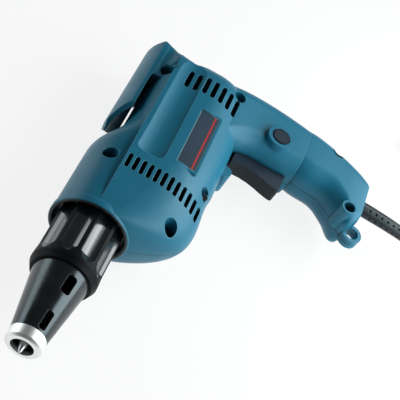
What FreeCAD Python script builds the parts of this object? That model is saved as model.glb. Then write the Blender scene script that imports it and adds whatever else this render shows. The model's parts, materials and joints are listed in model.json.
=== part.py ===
import FreeCAD, Part
import math
import os
import Sketcher
from FreeCAD import Matrix, Placement, Rotation, Vector

# Corded drywall screwdriver, one document of separate named pieces, millimetres.
# The spindle axis is the X axis and the origin is the front plane of the depth locator.
# The nose points to -X, the belt hook to +Y and the tool's left side to +Z.
# It lies on its right side, so the floor is the plane under the right half of the housing.

os.makedirs("parts", exist_ok=True)
doc = FreeCAD.newDocument("drywall_screwdriver")
sheet = doc.addObject("Spreadsheet::Sheet", "sizes")

# Driving sizes. Every length is in millimetres, every count and angle is named as one.
SIZES = [
    # fits used everywhere
    ("running_gap", 0.05),
    ("moving_gap", 0.3),
    ("slack", 1.0),
    # depth locator and its steel tip
    ("tip_length", 8.1),
    ("tip_radius", 11.6),
    ("tip_hole_radius", 7.4),
    ("tip_bevel", 1.5),
    ("spigot_wall", 2.0),
    ("spigot_length", 5.1),
    ("cone_length", 45.0),
    ("cone_end_radius", 18.4),
    ("cone_wall", 2.9),
    ("skirt_length", 13.0),
    ("skirt_wall", 1.7),
    ("window_length", 12.4),
    ("window_gap", 13.6),
    ("window_start", 1.6),
    ("front_window_width", 4.7),
    ("rear_window_width", 6.7),
    ("window_angle", 20.0),
    # locking sleeve
    ("sleeve_length", 49.5),
    ("sleeve_radius", 22.3),
    ("sleeve_shown", 41.9),
    ("sleeve_edge", 4.6),
    ("sleeve_edge_height", 2.2),
    ("sleeve_wall", 4.1),
    ("flute_depth", 2.2),
    ("flute_radius", 12.0),
    ("flute_start", 5.4),
    ("flute_run", 5.5),
    ("flute_count", 10),
    ("seal_section", 1.2),
    ("seal_width", 1.8),
    ("thread_pitch", 1.5),
    # bit and spindle
    ("bit_flats", 6.35),
    ("bit_overhang", 3.4),
    ("bit_neck_radius", 2.9),
    ("bit_point_radius", 0.9),
    ("bit_neck_length", 16.0),
    ("bit_flute_width", 1.2),
    ("bit_flute_depth", 9.0),
    ("bit_shank_length", 40.0),
    ("socket_depth", 18.0),
    ("socket_gap", 0.04),
    ("spindle_radius", 7.0),
    ("spindle_front_edge", 1.2),
    ("retainer_width", 2.4),
    ("retainer_section", 0.9),
    ("bush_wall", 2.0),
    ("bush_length", 19.0),
    ("clutch_disc_radius", 11.4),
    ("clutch_disc_length", 4.5),
    ("dog_height", 2.5),
    ("dog_inner_radius", 6.6),
    ("dog_gap", 2.5),
    ("dog_angle", 40.0),
    ("dog_count", 3),
    ("tail_radius", 4.0),
    ("spring_wire", 0.9),
    ("spring_turns", 6),
    ("spring_pocket", 5.6),
    # gears
    ("gear_module", 0.9),
    ("gear_teeth", 52),
    ("pinion_teeth", 10),
    ("pressure_angle", 25.0),
    ("gear_width", 8.0),
    ("gear_hub_radius", 11.4),
    ("washer_length", 2.4),
    ("washer_radius", 9.0),
    # nose bearing piece and bearing plate
    ("nose_tube_length", 35.0),
    ("flange_length", 4.5),
    ("plate_length", 7.0),
    ("chamber_gap", 0.9),
    # motor
    ("shaft_radius", 4.0),
    ("pinion_bore", 3.0),
    ("bearing_radius", 11.0),
    ("rear_bearing_radius", 9.5),
    ("rear_journal_radius", 3.0),
    ("boot_wall", 1.5),
    ("rear_bearing_length", 6.0),
    ("fan_start", 4.0),
    ("fan_length", 10.0),
    ("fan_radius", 24.2),
    ("fan_hub_radius", 8.0),
    ("fan_plate", 1.6),
    ("blade_thickness", 1.4),
    ("blade_count", 12),
    ("stator_start", 21.0),
    ("stator_length", 40.0),
    ("stator_radius", 26.8),
    ("yoke_thickness", 3.4),
    ("rotor_radius", 15.3),
    ("air_gap", 0.7),
    ("coil_angle", 74.0),
    ("coil_overhang", 6.0),
    ("core_slot_width", 2.0),
    ("core_slot_depth", 3.5),
    ("core_slot_count", 12),
    ("winding_length", 5.0),
    ("winding_radius", 13.2),
    ("commutator_radius", 10.5),
    ("commutator_length", 12.0),
    ("commutator_gap", 8.0),
    ("brush_width", 7.0),
    ("brush_height", 9.0),
    ("brush_length", 10.0),
    ("holder_wall", 1.2),
    ("holder_length", 12.0),
    ("web_start", 20.0),
    ("web_length", 8.0),
    # housing
    ("nose_wall", 1.6),
    ("lip_height", 0.8),
    ("lip_wall", 1.5),
    ("lip_length", 6.0),
    ("lip_round", 1.4),
    ("body_half_width", 30.6),
    ("body_depth", 63.2),
    ("shoulder_height", 3.3),
    ("dome_length", 46.0),
    ("taper_length", 28.0),
    ("straight_length", 68.0),
    ("rear_length", 29.0),
    ("saddle_crown", 14.0),
    ("saddle_radius", 34.0),
    ("ramp_start", 57.0),
    ("ramp_length", 40.0),
    ("hook_seat_height", 14.0),
    ("hook_root_length", 37.0),
    ("hook_reach", 53.5),
    ("hook_half_width", 19.6),
    ("hook_thickness", 3.4),
    ("hook_tip_length", 18.0),
    ("hook_tip_drop", 2.2),
    ("roof_hollow_radius", 19.0),
    ("recess_wall", 2.2),
    ("tail_dish", 9.0),
    ("tail_drop", 20.0),
    ("rear_hollow_radius", 23.6),
    ("handle_start", 38.0),
    ("handle_length", 132.0),
    ("handle_front", 126.2),
    ("handle_thick", 56.2),
    ("handle_half_width", 20.2),
    ("ridge_radius", 5.0),
    ("ridge_half_width", 9.0),
    ("ridge_front", 26.6),
    ("lug_half_thickness", 4.0),
    ("lug_hole_radius", 5.0),
    ("lug_wall", 2.9),
    ("lug_base", 12.0),
    ("lug_rise", 2.6),
    ("screw_recess_radius", 5.0),
    ("recess_floor", 19.0),
    ("grip_recess_floor", 7.0),
    ("toe_boss_radius", 6.0),
    ("toe_boss_height", 20.6),
    ("front_slot_length", 12.5),
    ("front_slot_width", 2.9),
    ("front_slot_pitch", 5.13),
    ("front_slot_count", 12),
    ("front_slot_place", 37.5),
    ("rear_slot_length", 18.0),
    ("rear_slot_width", 3.6),
    ("rear_slot_pitch", 6.47),
    ("rear_slot_count", 7),
    ("rear_slot_place", 134.0),
    ("rear_slot_top", 9.6),
    ("slot_reach", 18.0),
    ("scoop_depth", 2.8),
    ("scoop_length", 108.0),
    ("scoop_corner", 6.0),
    ("scoop_height", 20.0),
    ("scoop_drop", 9.5),
    ("scoop_place", 57.0),
    ("plate_thickness", 0.9),
    ("label_length", 55.4),
    ("label_height", 14.5),
    ("label_place", 64.0),
    ("label_drop", 27.2),
    ("label_floor", 28.5),
    # trigger, switch and lock button
    ("trigger_half_width", 6.5),
    ("trigger_height", 40.2),
    ("trigger_reach", 12.0),
    ("trigger_lip", 4.4),
    ("trigger_inside", 8.0),
    ("trigger_travel", 6.5),
    ("switch_length", 28.0),
    ("switch_half_width", 11.4),
    ("button_radius", 6.7),
    ("button_height", 25.0),
    ("button_flange", 1.8),
    ("button_flange_length", 1.6),
    ("button_stop", 16.7),
    ("button_place", 17.4),
    ("button_drop", 24.6),
    ("button_boss_wall", 3.2),
    ("button_boss_height", 24.4),
    # cord guard, clamp, cord, coil and plug
    ("guard_radius", 5.6),
    ("guard_place", 22.2),
    ("guard_flange_radius", 7.8),
    ("guard_flange_length", 4.0),
    ("guard_inside", 18.0),
    ("guard_straight", 20.0),
    ("guard_run", 39.6),
    ("clamp_length", 8.0),
    ("clamp_half_width", 9.0),
    ("lead_length", 26.0),
    ("wire_channel_half_width", 9.0),
    ("cord_radius", 3.8),
    ("cord_sink", 9.0),
    ("cord_swing", 6.6),
    ("cord_drop_run", 30.0),
    ("cord_land_run", 24.0),
    ("cord_floor_run", 24.0),
    ("coil_radius", 57.0),
    ("coil_turns", 4),
    ("coil_gap", 0.6),
    ("coil_tail", 50.0),
    ("plug_length", 34.0),
    ("plug_half_width", 12.0),
    ("plug_neck_length", 12.0),
    ("blade_length", 17.5),
    ("blade_width", 6.4),
    ("blade_gauge", 1.5),
    ("blade_spacing", 12.7),
    ("plug_edge", 2.0),
]


class Size:
    """A value together with the sheet formula it comes from."""

    def __init__(self, value, text):
        self.value = value
        self.text = text

    def __float__(self):
        return float(self.value)

    def __add__(self, other):
        return Size(self.value + float(other), "(%s + %s)" % (self.text, formula(other)))

    def __radd__(self, other):
        return Size(float(other) + self.value, "(%s + %s)" % (formula(other), self.text))

    def __sub__(self, other):
        return Size(self.value - float(other), "(%s - %s)" % (self.text, formula(other)))

    def __rsub__(self, other):
        return Size(float(other) - self.value, "(%s - %s)" % (formula(other), self.text))

    def __mul__(self, other):
        return Size(self.value * float(other), "(%s * %s)" % (self.text, formula(other)))

    def __rmul__(self, other):
        return Size(float(other) * self.value, "(%s * %s)" % (formula(other), self.text))

    def __truediv__(self, other):
        return Size(self.value / float(other), "(%s / %s)" % (self.text, formula(other)))

    def __neg__(self):
        return Size(-self.value, "(0 - %s)" % self.text)


def formula(item):
    return item.text if isinstance(item, Size) else repr(item)


class Named:
    """The sheet's sizes by name."""


S = Named()
for row, (name, value) in enumerate(SIZES, 1):
    sheet.set("A%d" % row, name)
    sheet.set("B%d" % row, repr(value))
    sheet.setAlias("B%d" % row, name)
    setattr(S, name, Size(value, "sizes." + name))
doc.recompute()

# Places along the spindle axis, each from the sizes above.
cone_end = S.tip_length + S.cone_length
nose_front = cone_end + S.sleeve_shown
sleeve_end = cone_end + S.sleeve_length
depth_travel = S.thread_pitch * 2
flange_front = sleeve_end + depth_travel + S.slack * 1.4
flange_back = flange_front + S.flange_length
tube_front = flange_front - S.nose_tube_length
bush_back = tube_front + S.bush_length
disc_front = bush_back + S.slack
disc_back = disc_front + S.clutch_disc_length
hub_front = disc_back + S.dog_height * 2 + S.dog_gap
gear_front = flange_back + S.moving_gap * 2
gear_back = gear_front + S.gear_width
plate_front = gear_back + S.moving_gap + S.washer_length
plate_back = plate_front + S.plate_length
fan_front = plate_back + S.fan_start
stator_front = plate_back + S.stator_start
stator_back = stator_front + S.stator_length
web_front = stator_back + S.web_start
web_back = web_front + S.web_length
dome_back = nose_front + S.dome_length
taper_back = dome_back + S.taper_length
straight_back = taper_back + S.straight_length
rear_end = straight_back + S.rear_length

# Radii shared by pieces that meet.
gear_radius = S.gear_module * S.gear_teeth / 2
pinion_radius = S.gear_module * S.pinion_teeth / 2
motor_drop = gear_radius + pinion_radius
chamber_radius = gear_radius + S.gear_module + S.chamber_gap * 0.7
nose_radius = chamber_radius + S.nose_wall
skirt_radius = S.cone_end_radius - S.skirt_wall * 0.88
sleeve_bore = S.sleeve_radius - S.sleeve_wall
tube_radius = sleeve_bore - S.moving_gap
bush_radius = S.spindle_radius + S.running_gap + S.bush_wall
nose_bore = S.sleeve_radius + S.slack
boot_radius = S.rear_bearing_radius + S.boot_wall
made = {}


def keep(thing, label):
    """Files the piece under its label."""
    thing.Label = label
    made[label] = thing
    return thing


def body(label, drop=None):
    owner = doc.addObject("PartDesign::Body", label)
    if drop is not None:
        owner.Placement = Placement(Vector(0, -float(drop), 0), Rotation())
        owner.setExpression("Placement.Base.y", "0 - %s" % drop.text)
    return keep(owner, label)


def plane_of(owner, role):
    return [item for item in owner.Origin.OriginFeatures if item.Role == role][0]


def sketch_on(owner, name, role, offset=None, turn=None):
    drawn = owner.newObject("Sketcher::SketchObject", name)
    drawn.AttachmentSupport = [(plane_of(owner, role), "")]
    drawn.MapMode = "FlatFace"
    rotation = Rotation() if turn is None else turn
    lift = 0 if offset is None else offset
    drawn.AttachmentOffset = Placement(Vector(0, 0, float(lift)), rotation)
    if offset is not None:
        drawn.setExpression("AttachmentOffset.Base.z", offset.text)
    return drawn


def bind(drawn, kind, first, second, size):
    """One measured constraint, driven by the sheet when the size is a formula."""
    index = drawn.addConstraint(Sketcher.Constraint(kind, -1, 1, first, second, float(size)))
    if isinstance(size, Size):
        drawn.setExpression("Constraints[%d]" % index, size.text)


def polygon(drawn, corners):
    """A closed outline with every corner bound to the sheet."""
    start = drawn.GeometryCount
    total = len(corners)
    points = [Vector(float(a), float(b), 0) for a, b in corners]
    lines = [Part.LineSegment(points[k], points[(k + 1) % total]) for k in range(total)]
    drawn.addGeometry(lines, False)
    joins = []
    for k in range(total):
        joins.append(Sketcher.Constraint("Coincident", start + k, 2, start + (k + 1) % total, 1))
    drawn.addConstraint(joins)
    for k, (a, b) in enumerate(corners):
        bind(drawn, "DistanceX", start + k, 1, a)
        bind(drawn, "DistanceY", start + k, 1, b)
    return drawn


def circle(drawn, across, up, radius):
    index = drawn.addGeometry(Part.Circle(Vector(float(across), float(up), 0), Vector(0, 0, 1), float(radius)), False)
    bind(drawn, "DistanceX", index, 3, across)
    bind(drawn, "DistanceY", index, 3, up)
    size = drawn.addConstraint(Sketcher.Constraint("Radius", index, float(radius)))
    drawn.setExpression("Constraints[%d]" % size, radius.text)
    return drawn


def hexagon(drawn, flats):
    """A hexagon about the origin, sized across its flats."""
    corners = []
    for k in range(6):
        turn = math.radians(60 * k + 30)
        reach = flats / math.sqrt(3)
        corners.append((reach * math.cos(turn), reach * math.sin(turn)))
    return polygon(drawn, corners)


def turned(owner, corners, name="profile"):
    """A revolve about the X axis of a profile given as along and radius."""
    drawn = polygon(sketch_on(owner, owner.Name + "_" + name, "XY_Plane"), corners)
    spun = owner.newObject("PartDesign::Revolution", owner.Name + "_" + name + "_turn")
    spun.Profile = drawn
    spun.ReferenceAxis = (drawn, ["H_Axis"])
    spun.Angle = 360
    drawn.Visibility = False
    return spun


def sector(owner, corners, angle, name, lean):
    """Part of a revolve, centred on the direction lean, in degrees from +Y towards +Z."""
    drawn = sketch_on(owner, owner.Name + "_" + name, "XY_Plane", None, Rotation(Vector(1, 0, 0), lean))
    polygon(drawn, corners)
    spun = owner.newObject("PartDesign::Revolution", owner.Name + "_" + name + "_turn")
    spun.Profile = drawn
    spun.ReferenceAxis = (drawn, ["H_Axis"])
    spun.Midplane = True
    spun.Angle = float(angle)
    spun.setExpression("Angle", angle.text)
    return spun


def raised(owner, drawn, length, kind="PartDesign::Pad", both=False):
    grown = owner.newObject(kind, drawn.Name + "_" + kind[-4:].lower())
    grown.Profile = drawn
    grown.Type = "Length"
    grown.Length = float(length)
    grown.setExpression("Length", length.text)
    if both:
        grown.SideType = "Symmetric"
    drawn.Visibility = False
    return grown


def ring_of(owner, feature, count, name):
    """Repeats a feature about the X axis."""
    spread = owner.newObject("PartDesign::PolarPattern", owner.Name + "_" + name)
    spread.Originals = [feature]
    spread.Axis = ([item for item in owner.Origin.OriginFeatures if item.Role == "X_Axis"][0], [""])
    spread.Angle = 360
    spread.Occurrences = int(count.value)
    spread.setExpression("Occurrences", count.text)
    owner.Tip = spread
    return spread


def shaped(label, shape, place=None):
    """A piece whose form no sketch gives, such as a moulded shell, a tooth form or a sweep."""
    thing = doc.addObject("Part::Feature", label)
    thing.Shape = shape
    if place is not None:
        thing.Placement = place
    return keep(thing, label)


def block(x0, x1, y0, y1, z0, z1):
    """A box between two corners, for cuts."""
    solid = Part.makeBox(float(x1 - x0), float(y1 - y0), float(z1 - z0))
    solid.translate(Vector(float(x0), float(y0), float(z0)))
    return solid


def rod(radius, x0, x1, drop=0):
    """A cylinder along X between two places."""
    return Part.makeCylinder(float(radius), float(x1 - x0), Vector(float(x0), -float(drop), 0), Vector(1, 0, 0))


def pin(radius, x, y, z0, z1):
    """A cylinder along Z between two heights."""
    return Part.makeCylinder(float(radius), float(z1 - z0), Vector(float(x), float(y), float(z0)), Vector(0, 0, 1))


def prism(corners, z0, z1):
    """A side outline in X and Y, extruded across the tool."""
    points = [Vector(float(a), float(b), float(z0)) for a, b in corners]
    face = Part.Face(Part.makePolygon(points + points[:1]))
    return face.extrude(Vector(0, 0, float(z1 - z0)))


def slot(x0, x1, y, width, z0, z1):
    """A round-ended slot along X, cut across the tool."""
    radius = width / 2
    middle = block(x0 + radius, x1 - radius, y - radius, y + radius, z0, z1)
    return middle.fuse([pin(radius, x0 + radius, y, z0, z1), pin(radius, x1 - radius, y, z0, z1)])


# Depth locator: a steel tip ring on a windowed cone whose skirt slips into the sleeve.
tip_land = S.tip_length - S.spigot_length
spigot_radius = S.tip_hole_radius + S.spigot_wall
cone_bore = S.cone_end_radius - S.cone_wall
tip_ring = body("tip_ring")
turned(tip_ring, [
    (0, S.tip_hole_radius),
    (tip_land, S.tip_hole_radius),
    (tip_land, spigot_radius),
    (S.tip_length, spigot_radius),
    (S.tip_length, S.tip_radius),
    (S.tip_bevel, S.tip_radius),
    (0, S.tip_radius - S.tip_bevel),
])

locator = body("depth_locator")
turned(locator, [
    (tip_land, S.tip_hole_radius),
    (S.tip_length, S.tip_hole_radius),
    (cone_end - S.cone_wall, cone_bore),
    (cone_end + S.skirt_length, cone_bore),
    (cone_end + S.skirt_length, skirt_radius),
    (cone_end, skirt_radius),
    (cone_end, S.cone_end_radius),
    (S.tip_length, S.tip_radius),
    (S.tip_length, spigot_radius),
    (tip_land, spigot_radius),
])
window_turn = Rotation(Vector(1, 0, 0), float(S.window_angle))
front_window = S.tip_length + S.window_start
rear_window = front_window + S.window_length + S.window_gap
for name, place, width in (("front", front_window, S.front_window_width),
                           ("rear", rear_window, S.rear_window_width)):
    opening = sketch_on(locator, "locator_window_" + name, "XY_Plane", None, window_turn)
    opening.setExpression("AttachmentOffset.Rotation.Angle", S.window_angle.text)
    half = width / 2
    corner = width / 5
    polygon(opening, [
        (place, -(half - corner)),
        (place + corner, -half),
        (place + S.window_length - corner, -half),
        (place + S.window_length, -(half - corner)),
        (place + S.window_length, half - corner),
        (place + S.window_length - corner, half),
        (place + corner, half),
        (place, half - corner),
    ])
    raised(locator, opening, S.cone_end_radius * 3, "PartDesign::Pocket", True)

# Locking sleeve: turned on the nose tube, it carries the locator in and out.
seal_place = cone_end + S.skirt_length / 2
groove_radius = skirt_radius + S.running_gap * 2 + S.seal_section
sleeve_mouth = skirt_radius + S.moving_gap
sleeve = body("lock_sleeve")
turned(sleeve, [
    (cone_end, sleeve_mouth),
    (seal_place - S.seal_width / 2, sleeve_mouth),
    (seal_place - S.seal_width / 2, groove_radius),
    (seal_place + S.seal_width / 2, groove_radius),
    (seal_place + S.seal_width / 2, sleeve_mouth),
    (cone_end + S.skirt_length + S.slack, sleeve_mouth),
    (cone_end + S.skirt_length + S.slack, sleeve_bore),
    (sleeve_end, sleeve_bore),
    (sleeve_end, S.sleeve_radius),
    (cone_end + S.sleeve_edge, S.sleeve_radius),
    (cone_end, S.sleeve_radius - S.sleeve_edge_height),
])
# Each flute is a shallow groove turned about an axis outside the sleeve, with a sloped run-in.
flute_axis = S.sleeve_radius + S.flute_radius - S.flute_depth
flute = sketch_on(sleeve, "sleeve_flute", "XY_Plane")
flute.AttachmentOffset = Placement(Vector(0, float(flute_axis), 0), Rotation())
flute.setExpression("AttachmentOffset.Base.y", flute_axis.text)
polygon(flute, [
    (cone_end + S.flute_start, 0),
    (cone_end + S.flute_start, S.flute_depth - S.flute_radius),
    (cone_end + S.flute_start + S.flute_run, -S.flute_radius),
    (sleeve_end + S.slack, -S.flute_radius),
    (sleeve_end + S.slack, 0),
])
flute_cut = sleeve.newObject("PartDesign::Groove", "sleeve_flute_turn")
flute_cut.Profile = flute
flute_cut.ReferenceAxis = (flute, ["H_Axis"])
flute_cut.Angle = 360
flute.Visibility = False
doc.recompute()
ring_of(sleeve, flute_cut, S.flute_count, "flutes")

seal = body("locator_seal")
turned(seal, [
    (seal_place - S.seal_width / 2 + S.running_gap, skirt_radius + S.running_gap),
    (seal_place + S.seal_width / 2 - S.running_gap, skirt_radius + S.running_gap),
    (seal_place + S.seal_width / 2 - S.running_gap, skirt_radius + S.running_gap + S.seal_section),
    (seal_place - S.seal_width / 2 + S.running_gap, skirt_radius + S.running_gap + S.seal_section),
])

# Nose bearing piece: tube under the sleeve, flange inside the housing, bush for the spindle.
clutch_bore = S.clutch_disc_radius + S.slack
nose_tube = body("nose_bearing")
turned(nose_tube, [
    (tube_front, bush_radius),
    (bush_back, bush_radius),
    (bush_back, clutch_bore),
    (flange_back, clutch_bore),
    (flange_back, chamber_radius),
    (flange_front, chamber_radius),
    (flange_front, tube_radius),
    (tube_front, tube_radius),
])
bush = body("spindle_bush")
turned(bush, [
    (tube_front, S.spindle_radius + S.running_gap),
    (bush_back, S.spindle_radius + S.running_gap),
    (bush_back, bush_radius),
    (tube_front, bush_radius),
])

# Spindle with a hex socket for the bit and clutch dogs on its disc.
bit_back = S.bit_neck_length + S.bit_shank_length - S.bit_overhang
spindle_front = bit_back - S.socket_depth
tail_end = plate_front + S.plate_length / 2
retainer_place = spindle_front + S.socket_depth / 3
retainer_floor = S.spindle_radius - S.retainer_section
spindle = body("spindle")
turned(spindle, [
    (spindle_front, 0),
    (spindle_front, S.spindle_radius - S.spindle_front_edge),
    (spindle_front + S.spindle_front_edge, S.spindle_radius),
    (retainer_place, S.spindle_radius),
    (retainer_place, retainer_floor),
    (retainer_place + S.retainer_width, retainer_floor),
    (retainer_place + S.retainer_width, S.spindle_radius),
    (disc_front, S.spindle_radius),
    (disc_front, S.clutch_disc_radius),
    (disc_back, S.clutch_disc_radius),
    (disc_back, S.tail_radius),
    (tail_end, S.tail_radius),
    (tail_end, 0),
])
socket = hexagon(sketch_on(spindle, "spindle_socket", "YZ_Plane", spindle_front), S.bit_flats + S.socket_gap)
socket_cut = raised(spindle, socket, S.socket_depth, "PartDesign::Pocket")
socket_cut.Reversed = True
dog = sector(spindle, [
    (disc_back - S.slack, S.dog_inner_radius),
    (disc_back + S.dog_height, S.dog_inner_radius),
    (disc_back + S.dog_height, S.clutch_disc_radius),
    (disc_back - S.slack, S.clutch_disc_radius),
], S.dog_angle, "dog", 0)
doc.recompute()
ring_of(spindle, dog, S.dog_count, "dogs")

retainer = body("bit_retainer")
turned(retainer, [
    (retainer_place, retainer_floor),
    (retainer_place + S.retainer_width, retainer_floor),
    (retainer_place + S.retainer_width, S.spindle_radius),
    (retainer_place, S.spindle_radius),
])

bit = body("screw_bit")
shank_front = S.bit_neck_length - S.bit_overhang
shank = hexagon(sketch_on(bit, "bit_shank", "YZ_Plane", shank_front), S.bit_flats)
raised(bit, shank, S.bit_shank_length)
turned(bit, [
    (-S.bit_overhang, 0),
    (-S.bit_overhang, S.bit_point_radius),
    (S.bit_flats - S.bit_overhang, S.bit_neck_radius),
    (shank_front, S.bit_neck_radius),
    (shank_front + S.slack, S.bit_flats / 2),
    (shank_front + S.slack, 0),
], "neck")
bit_flute = sketch_on(bit, "bit_flute", "XY_Plane")
bit_flute.AttachmentOffset = Placement(Vector(0, 0, 0), Rotation(Vector(1, 0, 0), 45))
polygon(bit_flute, [
    (-S.bit_overhang - S.slack, S.bit_point_radius * 0.7),
    (S.bit_flute_depth - S.bit_overhang, S.bit_neck_radius + S.slack),
    (-S.bit_overhang - S.slack, S.bit_neck_radius + S.slack),
])
bit_cut = raised(bit, bit_flute, S.bit_flute_width, "PartDesign::Pocket", True)
doc.recompute()
cross = ring_of(bit, bit_cut, Size(4, "4"), "cross")

# Drive gear: toothed rim, hub with the mating dogs and the clutch spring's pocket.


def tooth_outline(teeth, addendum_share, phase):
    """Points of an involute gear outline in the YZ plane, as a closed polygon."""
    pitch = S.gear_module * teeth / 2
    pressure = math.radians(float(S.pressure_angle))
    base = float(pitch) * math.cos(pressure)
    tip = float(pitch + S.gear_module * addendum_share)
    root = float(pitch - S.gear_module * 1.15)
    half = math.pi / 2 / float(teeth) * 0.9
    shift = half + math.tan(pressure) - pressure
    flank = []
    low = max(base, root)
    for k in range(4):
        reach = low + (tip - low) * k / 3
        roll = math.acos(min(1.0, base / reach))
        flank.append((reach, shift - (math.tan(roll) - roll)))
    rise = [(root, flank[0][1])] + flank if root < low else flank
    outline = []
    for k in range(int(teeth.value)):
        middle = phase + 2 * math.pi * k / float(teeth)
        for reach, spread in rise:
            outline.append((reach, middle - spread))
        for reach, spread in reversed(rise):
            outline.append((reach, middle + spread))
    return [Vector(0, reach * math.cos(turn), reach * math.sin(turn)) for reach, turn in outline]


def gear_blank(teeth, addendum_share, phase, front, back):
    points = tooth_outline(teeth, addendum_share, phase)
    face = Part.Face(Part.makePolygon(points + points[:1]))
    solid = face.extrude(Vector(float(back - front), 0, 0))
    solid.translate(Vector(float(front), 0, 0))
    return solid


spring_radius = S.tail_radius + S.running_gap + S.spring_wire * 0.9
pocket_radius = spring_radius + S.spring_wire
pocket_back = hub_front + S.spring_pocket
gear_phase = math.pi + math.pi / float(S.gear_teeth)
gear_solid = gear_blank(S.gear_teeth, 0.7, gear_phase, gear_front, gear_back)
gear_solid = gear_solid.fuse(rod(S.gear_hub_radius, hub_front, gear_front + S.slack))
for k in range(int(S.dog_count.value)):
    lug = rod(S.gear_hub_radius, hub_front - S.dog_height, hub_front + S.slack)
    lug = lug.cut(rod(S.dog_inner_radius, hub_front - S.dog_height, hub_front + S.slack))
    reach = S.gear_hub_radius * 2
    spread = math.radians(float(S.dog_angle) / 2)
    wedge_points = [
        Vector(float(hub_front - S.dog_height), 0, 0),
        Vector(float(hub_front - S.dog_height), float(reach), -float(reach) * math.tan(spread)),
        Vector(float(hub_front - S.dog_height), float(reach), float(reach) * math.tan(spread)),
    ]
    wedge = Part.Face(Part.makePolygon(wedge_points + wedge_points[:1]))
    wedge = wedge.extrude(Vector(float(S.dog_height + S.slack), 0, 0))
    wedge.rotate(Vector(0, 0, 0), Vector(1, 0, 0), (k + 0.5) * 360 / float(S.dog_count))
    gear_solid = gear_solid.fuse(lug.common(wedge))
gear_solid = gear_solid.cut(rod(S.tail_radius + S.running_gap, hub_front, gear_back))
gear_solid = gear_solid.cut(rod(pocket_radius, hub_front, pocket_back))
shaped("drive_gear", gear_solid.removeSplitter())

# Clutch spring, wound between the spindle disc and the bottom of the gear's pocket.
spring_span = pocket_back - disc_back - S.spring_wire - S.running_gap * 2
spring_rise = spring_span / S.spring_turns
helix = Part.makeLongHelix(float(spring_rise), float(spring_span), float(spring_radius))
# The hidden wire is drawn with eight sides, which keeps its mesh light.
wire_corners = []
for k in range(8):
    turn = math.pi * (k + 0.5) / 4
    across = float(S.spring_wire) / 2 * math.cos(turn)
    wire_corners.append(Vector(float(spring_radius) + across, 0, float(S.spring_wire) / 2 * math.sin(turn)))
wire_section = Part.makePolygon(wire_corners + wire_corners[:1])
spring_sweep = Part.BRepOffsetAPI.MakePipeShell(Part.Wire(helix.Edges))
spring_sweep.setFrenetMode(True)
spring_sweep.add(wire_section)
spring_sweep.build()
spring_sweep.makeSolid()
spring_solid = spring_sweep.shape()
spring_solid.rotate(Vector(0, 0, 0), Vector(0, 1, 0), 90)
spring_solid.translate(Vector(float(disc_back + S.spring_wire / 2 + S.running_gap), 0, 0))
shaped("clutch_spring", spring_solid)

# Thrust washer and bearing plate between gear chamber and motor.
washer = body("thrust_washer")
turned(washer, [
    (gear_back + S.moving_gap, S.tail_radius + S.moving_gap),
    (plate_front, S.tail_radius + S.moving_gap),
    (plate_front, S.washer_radius),
    (gear_back + S.moving_gap, S.washer_radius),
])
plate_motor_radius = S.stator_radius - S.boot_wall * 2
plate = body("bearing_plate")
plate_face = circle(sketch_on(plate, "plate_face", "YZ_Plane", plate_front), 0, 0, chamber_radius)
raised(plate, plate_face, S.plate_length)
plate_motor = circle(sketch_on(plate, "plate_motor", "YZ_Plane", plate_front), -motor_drop, 0, plate_motor_radius)
raised(plate, plate_motor, S.plate_length)
plate_seat = circle(sketch_on(plate, "plate_seat", "YZ_Plane", plate_front), -motor_drop, 0, S.bearing_radius)
plate_seat_cut = raised(plate, plate_seat, S.plate_length, "PartDesign::Pocket")
plate_seat_cut.Reversed = True
plate_bore = sketch_on(plate, "plate_bore", "YZ_Plane", plate_front)
circle(plate_bore, 0, 0, S.tail_radius + S.running_gap)
plate_bore_cut = raised(plate, plate_bore, S.plate_length, "PartDesign::Pocket")
plate_bore_cut.Reversed = True

# Armature: shaft, pinion, fan, core, windings and commutator on the motor axis.
journal = S.shaft_radius - S.running_gap
rear_journal = S.rear_journal_radius - S.running_gap
core_front = stator_front + S.slack
core_back = stator_back - S.slack
comm_front = core_back + S.commutator_gap
comm_back = comm_front + S.commutator_length
bearing_back = web_front + S.rear_bearing_length
pinion_front = gear_front
pinion_back = gear_back + S.slack
shaft = body("armature_shaft", motor_drop)
turned(shaft, [
    (pinion_front, 0),
    (pinion_front, S.pinion_bore),
    (pinion_back, S.pinion_bore),
    (pinion_back, journal),
    (comm_back + S.slack, journal),
    (comm_back + S.slack, rear_journal),
    (bearing_back, rear_journal),
    (bearing_back, 0),
])
pinion_solid = gear_blank(S.pinion_teeth, 0.9, 0, pinion_front, pinion_back)
pinion_solid = pinion_solid.cut(rod(S.pinion_bore, pinion_front, pinion_back))
pinion = shaped("motor_pinion", pinion_solid, Placement(Vector(0, -float(motor_drop), 0), Rotation()))
pinion.setExpression("Placement.Base.y", "0 - %s" % motor_drop.text)

core = body("armature_core", motor_drop)
turned(core, [
    (core_front, journal),
    (core_back, journal),
    (core_back, S.rotor_radius),
    (core_front, S.rotor_radius),
])
core_slot = sketch_on(core, "core_slot", "YZ_Plane", core_front)
half_slot = S.core_slot_width / 2
polygon(core_slot, [
    (S.rotor_radius - S.core_slot_depth, -half_slot),
    (S.rotor_radius + S.slack, -half_slot),
    (S.rotor_radius + S.slack, half_slot),
    (S.rotor_radius - S.core_slot_depth, half_slot),
])
core_cut = raised(core, core_slot, S.stator_length, "PartDesign::Pocket")
core_cut.Reversed = True
doc.recompute()
ring_of(core, core_cut, S.core_slot_count, "slots")

for label, front, back in (("armature_winding_front", core_front - S.winding_length, core_front),
                           ("armature_winding_rear", core_back, core_back + S.winding_length)):
    winding = body(label, motor_drop)
    turned(winding, [
        (front, journal),
        (back, journal),
        (back, S.winding_radius),
        (front, S.winding_radius),
    ])

commutator = body("commutator", motor_drop)
turned(commutator, [
    (comm_front, journal),
    (comm_back, journal),
    (comm_back, S.commutator_radius),
    (comm_front, S.commutator_radius),
])

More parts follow.
